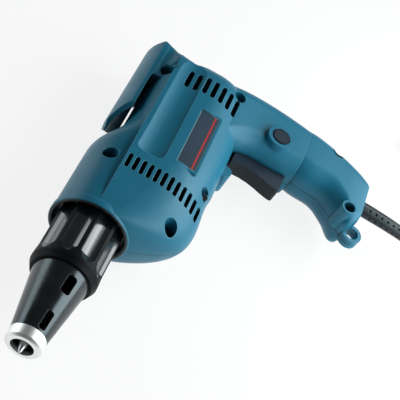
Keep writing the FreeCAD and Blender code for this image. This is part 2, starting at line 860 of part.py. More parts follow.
fan_back = fan_front + S.fan_length
fan = body("cooling_fan", motor_drop)
turned(fan, [
    (fan_front, journal),
    (fan_back, journal),
    (fan_back, S.fan_radius),
    (fan_back - S.fan_plate, S.fan_radius),
    (fan_back - S.fan_plate, S.fan_hub_radius),
    (fan_front, S.fan_hub_radius),
])
blade = sketch_on(fan, "fan_blade", "YZ_Plane", fan_front)
half_blade = S.blade_thickness / 2
polygon(blade, [
    (S.fan_hub_radius - S.slack, -half_blade),
    (S.fan_radius, -half_blade),
    (S.fan_radius, half_blade),
    (S.fan_hub_radius - S.slack, half_blade),
])
blade_pad = raised(fan, blade, S.fan_length - S.fan_plate / 2)
doc.recompute()
ring_of(fan, blade_pad, S.blade_count, "blades")

# Bearings and the rubber boot that holds the rear one.
front_bearing = body("front_bearing", motor_drop)
turned(front_bearing, [
    (plate_front, S.shaft_radius),
    (plate_back, S.shaft_radius),
    (plate_back, S.bearing_radius),
    (plate_front, S.bearing_radius),
])
rear_bearing = body("rear_bearing", motor_drop)
turned(rear_bearing, [
    (web_front, S.rear_journal_radius),
    (bearing_back, S.rear_journal_radius),
    (bearing_back, S.rear_bearing_radius),
    (web_front, S.rear_bearing_radius),
])
boot = body("bearing_boot", motor_drop)
turned(boot, [
    (web_front, S.rear_bearing_radius),
    (bearing_back, S.rear_bearing_radius),
    (bearing_back, S.rear_journal_radius + S.slack),
    (web_back, S.rear_journal_radius + S.slack),
    (web_back, boot_radius),
    (web_front, boot_radius),
])

# Field: a ring with two poles above and below, and a coil in each side gap.
stator_bore = S.rotor_radius + S.air_gap
yoke_inner = S.stator_radius - S.yoke_thickness
field = body("field_core", motor_drop)
turned(field, [
    (stator_front, stator_bore),
    (stator_back, stator_bore),
    (stator_back, S.stator_radius),
    (stator_front, S.stator_radius),
])
gap_sketch = sketch_on(field, "field_gap", "XY_Plane", None, Rotation(Vector(1, 0, 0), 90))
polygon(gap_sketch, [
    (stator_front, stator_bore - S.slack),
    (stator_back, stator_bore - S.slack),
    (stator_back, yoke_inner),
    (stator_front, yoke_inner),
])
gap_cut = field.newObject("PartDesign::Groove", "field_gap_turn")
gap_cut.Profile = gap_sketch
gap_cut.ReferenceAxis = (gap_sketch, ["H_Axis"])
gap_cut.Midplane = True
gap_cut.Angle = float(S.coil_angle)
gap_cut.setExpression("Angle", S.coil_angle.text)
gap_sketch.Visibility = False
doc.recompute()
ring_of(field, gap_cut, Size(2, "2"), "gaps")
for label, lean in (("field_coil_left", 90), ("field_coil_right", -90)):
    coil = body(label, motor_drop)
    sector(coil, [
        (stator_front - S.coil_overhang, stator_bore),
        (stator_back + S.coil_overhang, stator_bore),
        (stator_back + S.coil_overhang, yoke_inner),
        (stator_front - S.coil_overhang, yoke_inner),
    ], S.coil_angle, "side", lean)

# Brush gear: a brass holder each side, standing on the rear web, with its carbon brush.
brush_face = S.commutator_radius + S.moving_gap
holder_face = brush_face + S.slack
brush_place = comm_front + S.slack * 2
brush_end = brush_place + S.brush_width
for side, sign in (("left", 1), ("right", -1)):
    brush = body("carbon_brush_" + side, motor_drop)
    half = S.brush_height / 2
    drawn = polygon(sketch_on(brush, "brush_face_" + side, "XY_Plane", brush_face * sign), [
        (brush_place, -half),
        (brush_end, -half),
        (brush_end, half),
        (brush_place, half),
    ])
    grown = raised(brush, drawn, S.brush_length)
    grown.Reversed = sign < 0
    holder = body("brush_holder_" + side, motor_drop)
    outer = half + S.holder_wall
    drawn = polygon(sketch_on(holder, "holder_face_" + side, "XY_Plane", holder_face * sign), [
        (brush_place - S.holder_wall, -outer),
        (web_front, -outer),
        (web_front, outer),
        (brush_place - S.holder_wall, outer),
    ])
    grown = raised(holder, drawn, S.holder_length)
    grown.Reversed = sign < 0
    drawn = polygon(sketch_on(holder, "holder_bore_" + side, "XY_Plane", holder_face * sign), [
        (brush_place, -half),
        (brush_end, -half),
        (brush_end, half),
        (brush_place, half),
    ])
    cut = raised(holder, drawn, S.holder_length, "PartDesign::Pocket")
    cut.Reversed = sign > 0

# Trigger, switch and lock button in the handle.
handle_front = nose_front + S.handle_front
handle_back = handle_front + S.handle_thick
trigger_top = -S.body_depth - S.slack * 1.2
trigger_low = trigger_top - S.trigger_height
trigger_back = handle_front + S.trigger_inside
switch_front = trigger_back + S.trigger_travel + S.slack * 0.5
switch_back = switch_front + S.switch_length
slot_top = trigger_top + S.moving_gap
slot_low = trigger_low - S.moving_gap
slot_half = S.trigger_half_width + S.moving_gap
FINGER_SHARES = [(0.0, 0.0), (0.13, 0.3), (0.3, 0.45), (0.46, 0.36), (0.62, 0.1), (0.76, -0.26), (0.88, -0.48)]
finger_front = handle_front - S.trigger_reach
trigger = body("trigger")
trigger_side = sketch_on(trigger, "trigger_side", "XY_Plane")
finger = [(finger_front + S.trigger_lip * out, trigger_top - S.trigger_height * down) for down, out in FINGER_SHARES]
polygon(trigger_side, finger + [
    (finger_front - S.trigger_lip * 0.55, trigger_low + S.trigger_height * 0.04),
    (finger_front - S.trigger_lip * 0.35, trigger_low),
    (handle_front + S.slack * 2, trigger_low),
    (trigger_back, trigger_low + S.slack),
    (trigger_back, trigger_top),
])
raised(trigger, trigger_side, S.trigger_half_width * 2, "PartDesign::Pad", True)

switch = doc.addObject("Part::Box", "switch_body")
for prop, size in (("Length", S.switch_length), ("Width", slot_top - slot_low), ("Height", S.switch_half_width * 2)):
    setattr(switch, prop, float(size))
    switch.setExpression(prop, size.text)
switch.Placement = Placement(Vector(float(switch_front), float(slot_low), -float(S.switch_half_width)), Rotation())
switch.setExpression("Placement.Base.x", switch_front.text)
switch.setExpression("Placement.Base.y", slot_low.text)
switch.setExpression("Placement.Base.z", (-S.switch_half_width).text)
keep(switch, "switch_body")

button_x = handle_front + S.button_place
button_y = -S.body_depth - S.button_drop
button_flange_radius = S.button_radius + S.button_flange
button_flange_top = S.button_stop - S.moving_gap
button = body("lock_button")
button.Placement = Placement(Vector(float(button_x), float(button_y), 0), Rotation())
button.setExpression("Placement.Base.x", button_x.text)
button.setExpression("Placement.Base.y", button_y.text)
flange = circle(sketch_on(button, "button_flange", "XY_Plane", button_flange_top - S.button_flange_length),
                0, 0, button_flange_radius)
raised(button, flange, S.button_flange_length)
post = circle(sketch_on(button, "button_post", "XY_Plane", button_flange_top - S.button_flange_length),
              0, 0, S.button_radius)
raised(button, post, S.button_height - button_flange_top + S.button_flange_length)

# Housing, moulded in two halves that part on the tool's middle plane.
# Along share, side width share, belly depth share, belly start share, shoulder width share.
DOME_SHARES = [
    (0.02, 0.85, 0.415, 0.03, 0.824),
    (0.12, 0.88, 0.59, 0.127, 0.856),
    (0.28, 0.915, 0.785, 0.206, 0.892),
    (0.48, 0.948, 0.93, 0.27, 0.925),
    (0.72, 0.972, 0.995, 0.316, 0.944),
    (1.0, 0.99, 1.0, 0.364, 0.954),
]
FULL_SHARES = (1.0, 1.0, 1.0, 0.46, 0.954)
REAR_SHARES = [
    (0.0, 1.0, 1.0, 0.46, 0.954),
    (0.35, 0.985, 1.0, 0.46, 0.94),
    (0.62, 0.93, 0.99, 0.46, 0.88),
    (0.82, 0.83, 0.96, 0.46, 0.77),
    (0.94, 0.70, 0.92, 0.46, 0.64),
    (1.0, 0.58, 0.88, 0.46, 0.52),
]


def belly_section(x, shares):
    """Outline of the lower body: shoulder, leaning sides and a half-ellipse belly."""
    side = float(S.body_half_width * shares[1])
    depth = float(S.body_depth * shares[2])
    start = float(S.body_depth * shares[3])
    shoulder = float(S.body_half_width * shares[4])
    top = float(S.shoulder_height)
    at = float(x)
    steps = 8
    curve_points = []
    for k in range(steps + 1):
        turn = math.pi * k / steps
        curve_points.append(Vector(at, -start - (depth - start) * math.sin(turn), side * math.cos(turn)))
    curve = Part.BSplineCurve()
    curve.interpolate(Points=curve_points, InitialTangent=Vector(0, -1, 0), FinalTangent=Vector(0, 1, 0))
    left_top = Vector(at, top, shoulder)
    right_top = Vector(at, top, -shoulder)
    edges = [
        Part.LineSegment(left_top, curve_points[0]).toShape(),
        curve.toShape(),
        Part.LineSegment(curve_points[-1], right_top).toShape(),
        Part.LineSegment(right_top, left_top).toShape(),
    ]
    return Part.Wire(edges)


def grip_section(y, x0, x1, half, front_round, back_round):
    """A rounded rectangle across the handle at one height."""
    a = float(x0)
    b = float(x1)
    w = float(half)
    f = float(front_round)
    r = float(back_round)
    at = float(y)
    d = 1 - math.sqrt(0.5)
    corners = [
        ((a + f, -w), (b - r, -w), (b - r * d, -w + r * d), (b, -w + r)),
        ((b, -w + r), (b, w - r), (b - r * d, w - r * d), (b - r, w)),
        ((b - r, w), (a + f, w), (a + f * d, w - f * d), (a, w - f)),
        ((a, w - f), (a, -w + f), (a + f * d, -w + f * d), (a + f, -w)),
    ]
    edges = []
    for first, second, middle, last in corners:
        p, q, m, e = [Vector(c[0], at, c[1]) for c in (first, second, middle, last)]
        edges.append(Part.LineSegment(p, q).toShape())
        edges.append(Part.Arc(q, m, e).toShape())
    return Part.Wire(edges)


dome_wires = [belly_section(nose_front + S.dome_length * row[0], row) for row in DOME_SHARES]
dome_wires.append(belly_section(taper_back, FULL_SHARES))
dome = Part.makeLoft(dome_wires, True, False)
straight = Part.Face(belly_section(taper_back, FULL_SHARES)).extrude(Vector(float(S.straight_length), 0, 0))
rear = Part.makeLoft([belly_section(straight_back + S.rear_length * row[0], row) for row in REAR_SHARES], True, False)

roof_back = rear_end + S.slack * 3
lip = rod(nose_radius + S.lip_height, nose_front, nose_front + S.lip_length)
lip = lip.makeFillet(float(S.lip_round), [edge for edge in lip.Edges if edge.BoundBox.XLength < S.running_gap.value])
saddle_back = roof_back - S.hook_root_length
ramp_front = nose_front + S.ramp_start
ramp_back = ramp_front + S.ramp_length
# The roof's round drops along a ramp to the flatter round of the saddle: along share, height share.
RAMP_SHARES = [(0.0, 1.0), (0.06, 0.99), (0.17, 0.93), (0.32, 0.77), (0.46, 0.53), (0.61, 0.28), (0.79, 0.085), (1.0, 0.0)]
ramp_wires = []
for along, high in RAMP_SHARES:
    crown = S.saddle_crown + (nose_radius - S.saddle_crown) * high
    round_radius = S.saddle_radius + (nose_radius - S.saddle_radius) * high
    middle = Vector(float(ramp_front + S.ramp_length * along), float(crown - round_radius), 0)
    ramp_wires.append(Part.Wire(Part.makeCircle(float(round_radius), middle, Vector(1, 0, 0))))
ramp = Part.makeLoft(ramp_wires, True, False)
ledge_back = straight_back + S.rear_length * 0.55
saddle = rod(S.saddle_radius, ramp_back, ledge_back, S.saddle_radius - S.saddle_crown)
above = block(ramp_front, roof_back, S.shoulder_height - S.slack * 2, nose_radius * 2, -S.saddle_radius, S.saddle_radius)
hook_block = block(saddle_back, roof_back, 0, S.hook_seat_height, -S.hook_half_width, S.hook_half_width)
roof = [rod(nose_radius, nose_front + S.lip_round, ramp_front), ramp.common(above), saddle.common(above), hook_block]

# The rear end is dished below the hook.
tail_top = S.hook_seat_height + S.slack
tail_points = [
    (roof_back - S.tail_dish * 0.45, S.hook_seat_height * 0.5),
    (roof_back - S.tail_dish * 1.55, -S.tail_drop * 0.3),
    (roof_back - S.tail_dish * 0.5, -S.tail_drop),
]
high_end, dish_middle, low_end = [Vector(float(a), float(b), 0) for a, b in tail_points]
tail_corners = [low_end]
for a, b in ((roof_back + S.tail_dish, -S.tail_drop), (roof_back + S.tail_dish, tail_top),
             (roof_back - S.tail_dish * 0.15, tail_top)):
    tail_corners.append(Vector(float(a), float(b), 0))
tail_wire = Part.Wire([Part.Arc(high_end, dish_middle, low_end).toShape()]
                      + list(Part.makePolygon(tail_corners + [high_end]).Edges))
tail = Part.Face(tail_wire).extrude(Vector(0, 0, float(S.body_half_width * 2)))
tail.translate(Vector(0, 0, -float(S.body_half_width)))

# Height share, front share, back share, width share, front corner share, back corner share.
TOP_GRIP_SHARES = [
    (0.0, -0.30, 0.82, 1.26, 0.6, 0.6),
    (0.13, -0.16, 0.915, 1.17, 0.62, 0.65),
    (0.21, -0.03, 0.955, 1.09, 0.66, 0.68),
    (0.3, 0.015, 0.975, 1.03, 0.7, 0.7),
    (0.42, 0.02, 0.966, 1.0, 0.72, 0.7),
    (0.545, 0.045, 0.935, 0.985, 0.72, 0.7),
]
LOW_GRIP_SHARES = [
    (0.47, 0.135, 0.93, 0.94, 0.75, 0.7),
    (0.56, 0.12, 0.95, 0.95, 0.8, 0.7),
    (0.67, 0.1, 0.913, 0.955, 0.8, 0.7),
    (0.76, 0.06, 0.858, 0.95, 0.8, 0.7),
    (0.82, -0.035, 0.808, 0.95, 0.76, 0.69),
    (0.875, -0.165, 0.75, 0.94, 0.68, 0.65),
    (0.912, -0.232, 0.705, 0.91, 0.6, 0.6),
    (0.945, -0.2, 0.665, 0.87, 0.55, 0.58),
    (0.97, -0.08, 0.62, 0.79, 0.45, 0.5),
]


def grip_loft(table):
    wires = []
    for down, front, back, wide, front_round, back_round in table:
        half = S.handle_half_width * wide
        wires.append(grip_section(
            -S.handle_start - S.handle_length * down,
            handle_front + S.handle_thick * front,
            handle_front + S.handle_thick * back,
            half,
            half * front_round,
            half * back_round,
        ))
    return Part.makeLoft(wires, True, False)


handle_low = -S.handle_start - S.handle_length
ridge = pin(S.ridge_radius, handle_front - S.ridge_front, -S.body_depth + S.ridge_radius * 0.05,
            -S.ridge_half_width, S.ridge_half_width)
boss_x = handle_front - S.handle_thick * 0.09
boss_y = handle_low + S.handle_length * 0.12
toe_boss = pin(S.toe_boss_radius, boss_x, boss_y, 0, S.toe_boss_height)
button_hole = S.button_radius + S.moving_gap
button_boss = pin(button_hole + S.button_boss_wall, button_x, button_y, S.button_stop, S.button_boss_height)
outer = dome.fuse([straight, rear, lip, grip_loft(TOP_GRIP_SHARES), grip_loft(LOW_GRIP_SHARES), ridge, toe_boss, button_boss] + roof)
outer = outer.cut(tail)

# Screw recesses in the left half, each in a boss: along share of the body, height share of its depth,
# floor share of its half width.
BODY_SCREW_SHARES = [
    (0.272, 0.19, 0.15),
    (0.848, 0.109, 0.15),
    (0.918, -0.76, 0.2),
    (0.117, -0.696, 0.2),
    (0.363, -0.894, 0.45),
]
reach = S.body_half_width + S.slack
body_span = rear_end - nose_front
recesses = []
bosses = []
for along, up, deep in BODY_SCREW_SHARES:
    x = nose_front + body_span * along
    recesses.append(pin(S.screw_recess_radius, x, S.body_depth * up, S.body_half_width * deep, reach))
    bosses.append(pin(S.screw_recess_radius + S.recess_wall, x, S.body_depth * up, -reach, reach))

# Room inside for the pieces, each cut taken from the size of the piece that sits there.
pinion_room = pinion_radius + S.gear_module + S.slack
inside = [
    rod(nose_bore, nose_front - S.slack, flange_front),
    rod(nose_radius - S.lip_wall, nose_front - S.slack, nose_front + S.lip_length * 0.8),
    rod(chamber_radius, flange_front, plate_back),
    rod(pinion_room, flange_back, plate_front, motor_drop),
    rod(plate_motor_radius, plate_front, plate_back, motor_drop),
    rod(S.stator_radius, plate_back, web_front, motor_drop),
    rod(S.roof_hollow_radius, plate_back, fan_back).cut(bosses),
    rod(boot_radius, web_front, web_back, motor_drop),
    rod(S.rear_hollow_radius, web_back, rear_end - S.slack * 15, motor_drop).cut(bosses),
    block(switch_front, switch_back, slot_low, slot_top, -S.switch_half_width, S.switch_half_width),
    block(finger_front - S.trigger_lip * 2, switch_front, slot_low, slot_top, -slot_half, slot_half),
    block(switch_front + S.slack * 2, switch_back - S.slack * 2, slot_top, -motor_drop,
          -S.wire_channel_half_width, S.wire_channel_half_width),
]
web_vent = S.rear_hollow_radius * 0.55
for sign in (1, -1):
    inside.append(block(web_front, web_back, -motor_drop - web_vent / 2, -motor_drop + web_vent / 2,
                        web_vent * (1 if sign > 0 else -1.6), web_vent * (1.6 if sign > 0 else -1)))

guard_x = handle_front + S.guard_place
guard_top = handle_low + S.guard_inside
clamp_top = guard_top + S.lead_length
channel_low = guard_top
inside.append(block(guard_x - S.wire_channel_half_width, guard_x + S.wire_channel_half_width,
                    channel_low, slot_low, -S.wire_channel_half_width, S.wire_channel_half_width))


def upright(radius, x, y0, y1):
    """A cylinder along Y."""
    return Part.makeCylinder(float(radius), float(y1 - y0), Vector(float(x), float(y0), 0), Vector(0, 1, 0))


inside.append(upright(S.guard_flange_radius, guard_x, guard_top - S.guard_flange_length, guard_top))
inside.append(upright(S.guard_radius, guard_x, handle_low - S.slack, guard_top))
button_room = pin(button_flange_radius + S.moving_gap, button_x, button_y, S.switch_half_width, S.button_stop)
button_way = pin(button_hole, button_x, button_y, S.switch_half_width, S.button_boss_height + S.slack)

# Vents cut along the mould's draw, the same on both sides.
vents = []
for k in range(int(S.front_slot_count.value)):
    x0 = nose_front + S.front_slot_place
    for z0, z1 in ((S.slot_reach * 0.5, reach), (-reach, -S.slot_reach * 0.5)):
        vents.append(slot(x0, x0 + S.front_slot_length, -S.front_slot_pitch * k, S.front_slot_width, z0, z1))
for k in range(int(S.rear_slot_count.value)):
    x0 = nose_front + S.rear_slot_place
    for z0, z1 in ((S.slot_reach, reach), (-reach, -S.slot_reach)):
        vents.append(slot(x0, x0 + S.rear_slot_length, -S.rear_slot_top - S.rear_slot_pitch * k,
                          S.rear_slot_width, z0, z1))

GRIP_SCREW_SHARES = [(0.755, -0.731)]
for across, down in GRIP_SCREW_SHARES:
    x = handle_front + S.handle_thick * across
    recesses.append(pin(S.screw_recess_radius, x, -S.handle_start + S.handle_length * down,
                        S.grip_recess_floor, reach))
recesses.append(pin(S.toe_boss_radius * 0.74, boss_x, boss_y, S.toe_boss_height * 0.15, reach))

# Finger scoop along the left side: a wide round groove with a square, round-cornered front end.
# It runs out at the back where the body narrows.
scoop_front = nose_front + S.scoop_place
scoop_back = scoop_front + S.scoop_length
scoop_half = S.scoop_height / 2
scoop_radius = (float(scoop_half) ** 2 + float(S.scoop_depth) ** 2) / float(S.scoop_depth * 2)
scoop_start = Vector(float(scoop_front), -float(S.scoop_drop),
                     float(S.body_half_width * 0.972 - S.scoop_depth) + scoop_radius)
scoop_top = scoop_half - S.scoop_drop
scoop_low = -scoop_half - S.scoop_drop
scoop_plan = block(scoop_front + S.scoop_corner, scoop_back, scoop_low, scoop_top, 0, reach)
scoop_plan = scoop_plan.fuse([
    block(scoop_front, scoop_front + S.scoop_corner * 2, scoop_low + S.scoop_corner, scoop_top - S.scoop_corner, 0, reach),
    pin(S.scoop_corner, scoop_front + S.scoop_corner, scoop_low + S.scoop_corner, 0, reach),
    pin(S.scoop_corner, scoop_front + S.scoop_corner, scoop_top - S.scoop_corner, 0, reach),
]).removeSplitter()
scoop = Part.makeCylinder(scoop_radius, float(S.scoop_length), scoop_start, Vector(1, 0, 0)).common(scoop_plan)
label_front = nose_front + S.label_place
label_low = -S.label_drop - S.label_height
label_room = block(label_front, label_front + S.label_length, label_low, -S.label_drop, S.label_floor, reach)

# Hanging lug, moulded with the left half.
lug_x = handle_front - S.handle_thick * 0.186
lug_y = handle_low + S.lug_rise
lug_out = S.lug_hole_radius + S.lug_wall
lug_neck = prism([
    (lug_x + S.lug_base * 0.1, lug_y + S.lug_base),
    (lug_x - lug_out * 0.98, lug_y),
    (lug_x + lug_out * 0.98, lug_y),
    (lug_x + S.lug_base * 1.1, lug_y + S.lug_base),
], -S.lug_half_thickness, S.lug_half_thickness)
lug = pin(lug_out, lug_x, lug_y, -S.lug_half_thickness, S.lug_half_thickness).fuse(lug_neck)
lug_hole = pin(S.lug_hole_radius, lug_x, lug_y, -reach, reach)

far = S.handle_length * 3
left_side = block(-far, far, -far, far, 0, far)
right_side = block(-far, far, -far, far, -far, 0)
guard_way = upright(S.guard_radius, guard_x, handle_low - S.lug_base * 2, guard_top)
lug = lug.cut(guard_way)
shell = outer.cut(inside).cut(vents)
left_shell = shell.common(left_side).cut(recesses + [scoop, label_room, button_room, button_way])
left_shell = left_shell.fuse(lug).cut(lug_hole)
right_shell = shell.common(right_side).cut([lug, lug_hole])


def largest(shape):
    """The one solid of a cut, without crumbs."""
    return max(shape.Solids, key=lambda solid: solid.Volume)


shaped("housing_left", largest(left_shell))
shaped("housing_right", largest(right_shell))

# The tool lies on its right half, so the lowest point of that half is the floor.
floor_z = made["housing_right"].Shape.optimalBoundingBox(False, False).ZMin

# Bare plate let into the left half, below the scoop.
label = doc.addObject("Part::Box", "side_plate")
for prop, size in (("Length", S.label_length), ("Width", S.label_height), ("Height", S.plate_thickness)):
    setattr(label, prop, float(size))
    label.setExpression(prop, size.text)
label.Placement = Placement(Vector(float(label_front), float(label_low), float(S.label_floor)), Rotation())
label.setExpression("Placement.Base.x", label_front.text)
label.setExpression("Placement.Base.y", label_low.text)
label.setExpression("Placement.Base.z", S.label_floor.text)
keep(label, "side_plate")

# Belt hook: a curved tongue in line with the roof over the saddle, seated on the rear block.
hook_tip = saddle_back - S.hook_reach
hook_under = S.hook_seat_height + S.slack * 1.4
hook_side = prism([
    (hook_tip, hook_under),
    (hook_tip, nose_radius - S.hook_tip_drop),
    (hook_tip + S.hook_tip_length * 0.55, nose_radius + S.slack),
    (roof_back - S.slack * 3, nose_radius + S.slack),
    (roof_back, nose_radius * 0.7),
    (roof_back - S.tail_dish * 0.15, S.hook_seat_height),
    (saddle_back, S.hook_seat_height),
    (saddle_back - S.slack * 2, hook_under),
], -nose_radius, nose_radius)
# Along share of the tip's length, share of the half width: nearly straight sides to a small round end.
TIP_SHARES = [(1.0, 1.0), (0.9, 0.93), (0.75, 0.8), (0.6, 0.66), (0.45, 0.515), (0.3, 0.37), (0.18, 0.25),
              (0.09, 0.155), (0.03, 0.08), (0.0, 0.0)]
plan_points = [(hook_tip + S.hook_tip_length * along, S.hook_half_width * wide) for along, wide in TIP_SHARES]
plan = [(roof_back + S.slack * 2, S.hook_half_width)] + plan_points
mirror_plan = [(a, -b) for a, b in reversed(plan[:-1])]
plan_corners = [Vector(float(a), 0, float(b)) for a, b in plan + mirror_plan]
plan_face = Part.Face(Part.makePolygon(plan_corners + plan_corners[:1]))
hook_plan = plan_face.extrude(Vector(0, float(nose_radius * 2), 0))
hook = rod(nose_radius, hook_tip - S.slack, roof_back + S.slack * 2).common(hook_side).common(hook_plan)
hook = hook.cut(rod(nose_radius - S.hook_thickness, hook_tip - S.slack, saddle_back - S.slack * 2))
shaped("belt_hook", largest(hook))

# Cord guard, lead and clamp in the handle, then the free cord, the coil and the plug.


def tube(points, radius):
    """Straight runs joined by tangent arcs, swept with a circle."""
    edges = []
    at = points[0]
    radii = []
    for k in range(1, len(points) - 1):
        before = points[k] - points[k - 1]
        after = points[k + 1] - points[k]
        turn = before.getAngle(after)
        short = 0.45 * min(before.Length, after.Length)
        radii.append(short / math.tan(turn / 2))
        a = points[k] - before.normalize() * short
        b = points[k] + after.normalize() * short
        toward = (a + b) * 0.5 - points[k]
        middle = points[k] + toward.normalize() * (radii[-1] / math.cos(turn / 2) - radii[-1])
        edges.append(Part.LineSegment(at, a).toShape())
        edges.append(Part.Arc(a, middle, b).toShape())
        at = b
    edges.append(Part.LineSegment(at, points[-1]).toShape())
    path = Part.Wire(edges)
    section = Part.Wire(Part.makeCircle(float(radius), points[0], points[1] - points[0]))
    swept = path.makePipeShell([section], True, False)
    share = swept.Volume / (math.pi * float(radius) ** 2 * path.Length)
    print("tube bends", [round(item, 1) for item in radii], "least", float(radius) * 10, "volume share", round(share, 4))
    return swept


def at(x, y, z):
    return Vector(float(x), float(y), float(z))


cord_z = floor_z + S.cord_radius
guard_bend = handle_low - S.guard_straight
guard_points = [
    at(guard_x, guard_top, 0),
    at(guard_x, guard_bend, 0),
    at(guard_x + S.cord_swing, guard_bend - S.guard_run, -S.cord_sink),
]
guard_tube = tube(guard_points, S.guard_radius)
guard_tube = guard_tube.fuse(upright(S.guard_flange_radius, guard_x, guard_top - S.guard_flange_length, guard_top))
shaped("cord_guard", guard_tube.removeSplitter())

lead = doc.addObject("Part::Cylinder", "cord_lead")
lead.Radius = float(S.cord_radius)
lead.setExpression("Radius", S.cord_radius.text)
lead.Height = float(S.lead_length)
lead.setExpression("Height", S.lead_length.text)
lead.Placement = Placement(at(guard_x, clamp_top, 0), Rotation(Vector(1, 0, 0), 90))
lead.setExpression("Placement.Base.x", guard_x.text)
lead.setExpression("Placement.Base.y", clamp_top.text)
keep(lead, "cord_lead")

clamp = body("cord_clamp")
clamp_face = sketch_on(clamp, "clamp_face", "XY_Plane", -S.clamp_half_width)
clamp_mid = guard_top + S.lead_length / 2
polygon(clamp_face, [
    (guard_x - S.wire_channel_half_width, clamp_mid - S.clamp_length / 2),
    (guard_x + S.wire_channel_half_width, clamp_mid - S.clamp_length / 2),
    (guard_x + S.wire_channel_half_width, clamp_mid + S.clamp_length / 2),
    (guard_x - S.wire_channel_half_width, clamp_mid + S.clamp_length / 2),
])
raised(clamp, clamp_face, S.clamp_half_width * 2)
clamp_bore = sketch_on(clamp, "clamp_bore", "XZ_Plane", -clamp_mid - S.clamp_length)
circle(clamp_bore, guard_x, 0, S.cord_radius)
raised(clamp, clamp_bore, S.clamp_length * 2, "PartDesign::Pocket").Reversed = True

guard_end = guard_points[-1]
land_x = guard_x + S.cord_swing * 2
land_y = guard_bend - S.guard_run - S.cord_drop_run
coil_x = land_x + S.cord_swing * 0.2
coil_y = land_y - S.cord_land_run - S.cord_floor_run
cord_points = [
    guard_end,
    at(land_x, land_y, -S.cord_sink * 2),
    at(coil_x, land_y - S.cord_land_run, cord_z),
    at(coil_x, coil_y, cord_z),
]
shaped("cord", tube(cord_points, S.cord_radius))

# Coil: half turns winding in on the floor, one rising half turn, then half turns winding out.
cord_pitch = S.cord_radius * 2 + S.coil_gap
half_turns = int(S.coil_turns.value) * 2
coil_edges = [Part.LineSegment(at(coil_x, coil_y, cord_z), at(coil_x, coil_y - S.cord_radius * 2, cord_z)).toShape()]
coil_start_y = coil_y - S.cord_radius * 2
winding = []
place = float(coil_x)
height = float(cord_z)
heading = 1
radius = float(S.coil_radius)
for k in range(half_turns):
    winding.append((place, heading, radius, height, height))
    place += heading * 2 * radius
    heading = -heading
    radius -= float(cord_pitch) / 2
winding.append((place, heading, radius, height, height + float(cord_pitch)))
place += heading * 2 * radius
heading = -heading
height += float(cord_pitch)
for k in range(half_turns):
    radius += float(cord_pitch) / 2
    winding.append((place, heading, radius, height, height))
    place += heading * 2 * radius
    heading = -heading


def half_turn_points(start, way, reach, low, high, total):
    """Points along one half turn, from its start side to the other."""
    points = []
    for k in range(total + 1):
        turn = math.pi * k / total
        swing = 0.5 - 0.5 * math.cos(turn)
        points.append(Vector(
            start + way * reach * (1 - math.cos(turn)),
            float(coil_start_y) - way * reach * math.sin(turn),
            low + (high - low) * swing,
        ))
    return points


def two_arcs(p, p_way, q, q_way):
    """Two arcs from p to q that keep the direction at both ends."""
    gap = q - p
    ways = p_way + q_way
    a = 2 * (1 - p_way.dot(q_way))
    b = gap.dot(ways)
    c = gap.dot(gap)
    step = (-b + math.sqrt(b * b + a * c)) / a if a > 1e-9 else c / (4 * gap.dot(p_way))
    near = p + p_way * step
    past = q - q_way * step
    join = (near + past) * 0.5
    out = []
    for start, corner, end in ((p, near, join), (join, past, q)):
        chord = (start + end) * 0.5
        spread = (end - start).Length / 2
        lift = (chord - corner).Length
        run = (start - corner).Length
        bulge = spread * (run - spread) / lift if lift > 1e-9 else 0
        middle = chord + (corner - chord).normalize() * bulge
        out.append(Part.Arc(start, middle, end).toShape())
    return out


coil_track = []
for start, way, reach, low, high in winding:
    steps = half_turn_points(start, way, reach, low, high, 24)
    coil_track.extend(steps if not coil_track else steps[1:])
    if low == high:
        coil_edges.append(Part.Arc(steps[0], steps[12], steps[24]).toShape())
    else:
        quarter = Vector(way, 0, (high - low) / (2 * reach)).normalize()
        coil_edges.extend(two_arcs(steps[0], Vector(0, -way, 0), steps[12], quarter))
        coil_edges.extend(two_arcs(steps[12], quarter, steps[24], Vector(0, way, 0)))
coil_last = coil_track[-1]
coil_way = Vector(0, -heading, 0)
coil_end = coil_last + coil_way * float(S.coil_tail)
coil_edges.append(Part.LineSegment(coil_last, coil_end).toShape())
coil_path = Part.Wire(coil_edges)
coil_section = Part.Wire(Part.makeCircle(float(S.cord_radius), at(coil_x, coil_y, cord_z), Vector(0, -1, 0)))
coil_tube = coil_path.makePipeShell([coil_section], True, False)
coil_track.append(coil_end)
least = None
for i in range(len(coil_track)):
    for j in range(i + 12, len(coil_track)):
        apart = (coil_track[i] - coil_track[j]).Length - float(S.cord_radius) * 2
        least = apart if least is None else min(least, apart)
coil_share = coil_tube.Volume / (math.pi * float(S.cord_radius) ** 2 * coil_path.Length)
print("coil least gap", round(least, 3), "length", round(coil_path.Length), "volume share", round(coil_share, 4))
shaped("cord_coil", coil_tube)

# Plug: a moulded body with a tapered neck and two flat blades, lying on the floor.
plug_z = coil_end.z
plug_half = plug_z - float(floor_z)
plug_neck = coil_end + coil_way * float(S.plug_neck_length)
plug_face = plug_neck + coil_way * float(S.plug_length)
neck_ring = Part.Wire(Part.makeCircle(float(S.cord_radius * 1.35), coil_end, coil_way))
neck_wide = Part.Wire(Part.makeCircle(float(S.plug_half_width * 0.72), plug_neck, coil_way))
neck = Part.makeLoft([neck_ring, neck_wide], True, False)
plug_low_y = min(plug_neck.y, plug_face.y)
plug_box = Part.makeBox(float(S.plug_half_width * 2), float(S.plug_length), plug_half * 2,
                        Vector(coil_end.x - float(S.plug_half_width), plug_low_y, plug_z - plug_half))
plug_box = plug_box.makeFillet(float(S.plug_edge), plug_box.Edges)
shaped("plug_body", plug_box.fuse(neck).removeSplitter())
for label, side in (("plug_blade_upper", 1), ("plug_blade_lower", -1)):
    blade_solid = Part.makeBox(
        float(S.blade_width), float(S.blade_length), float(S.blade_gauge),
        Vector(coil_end.x - float(S.blade_width / 2), plug_face.y,
               plug_z + side * float(S.blade_spacing / 2) - float(S.blade_gauge / 2)))
    shaped(label, blade_solid)

doc.recompute()

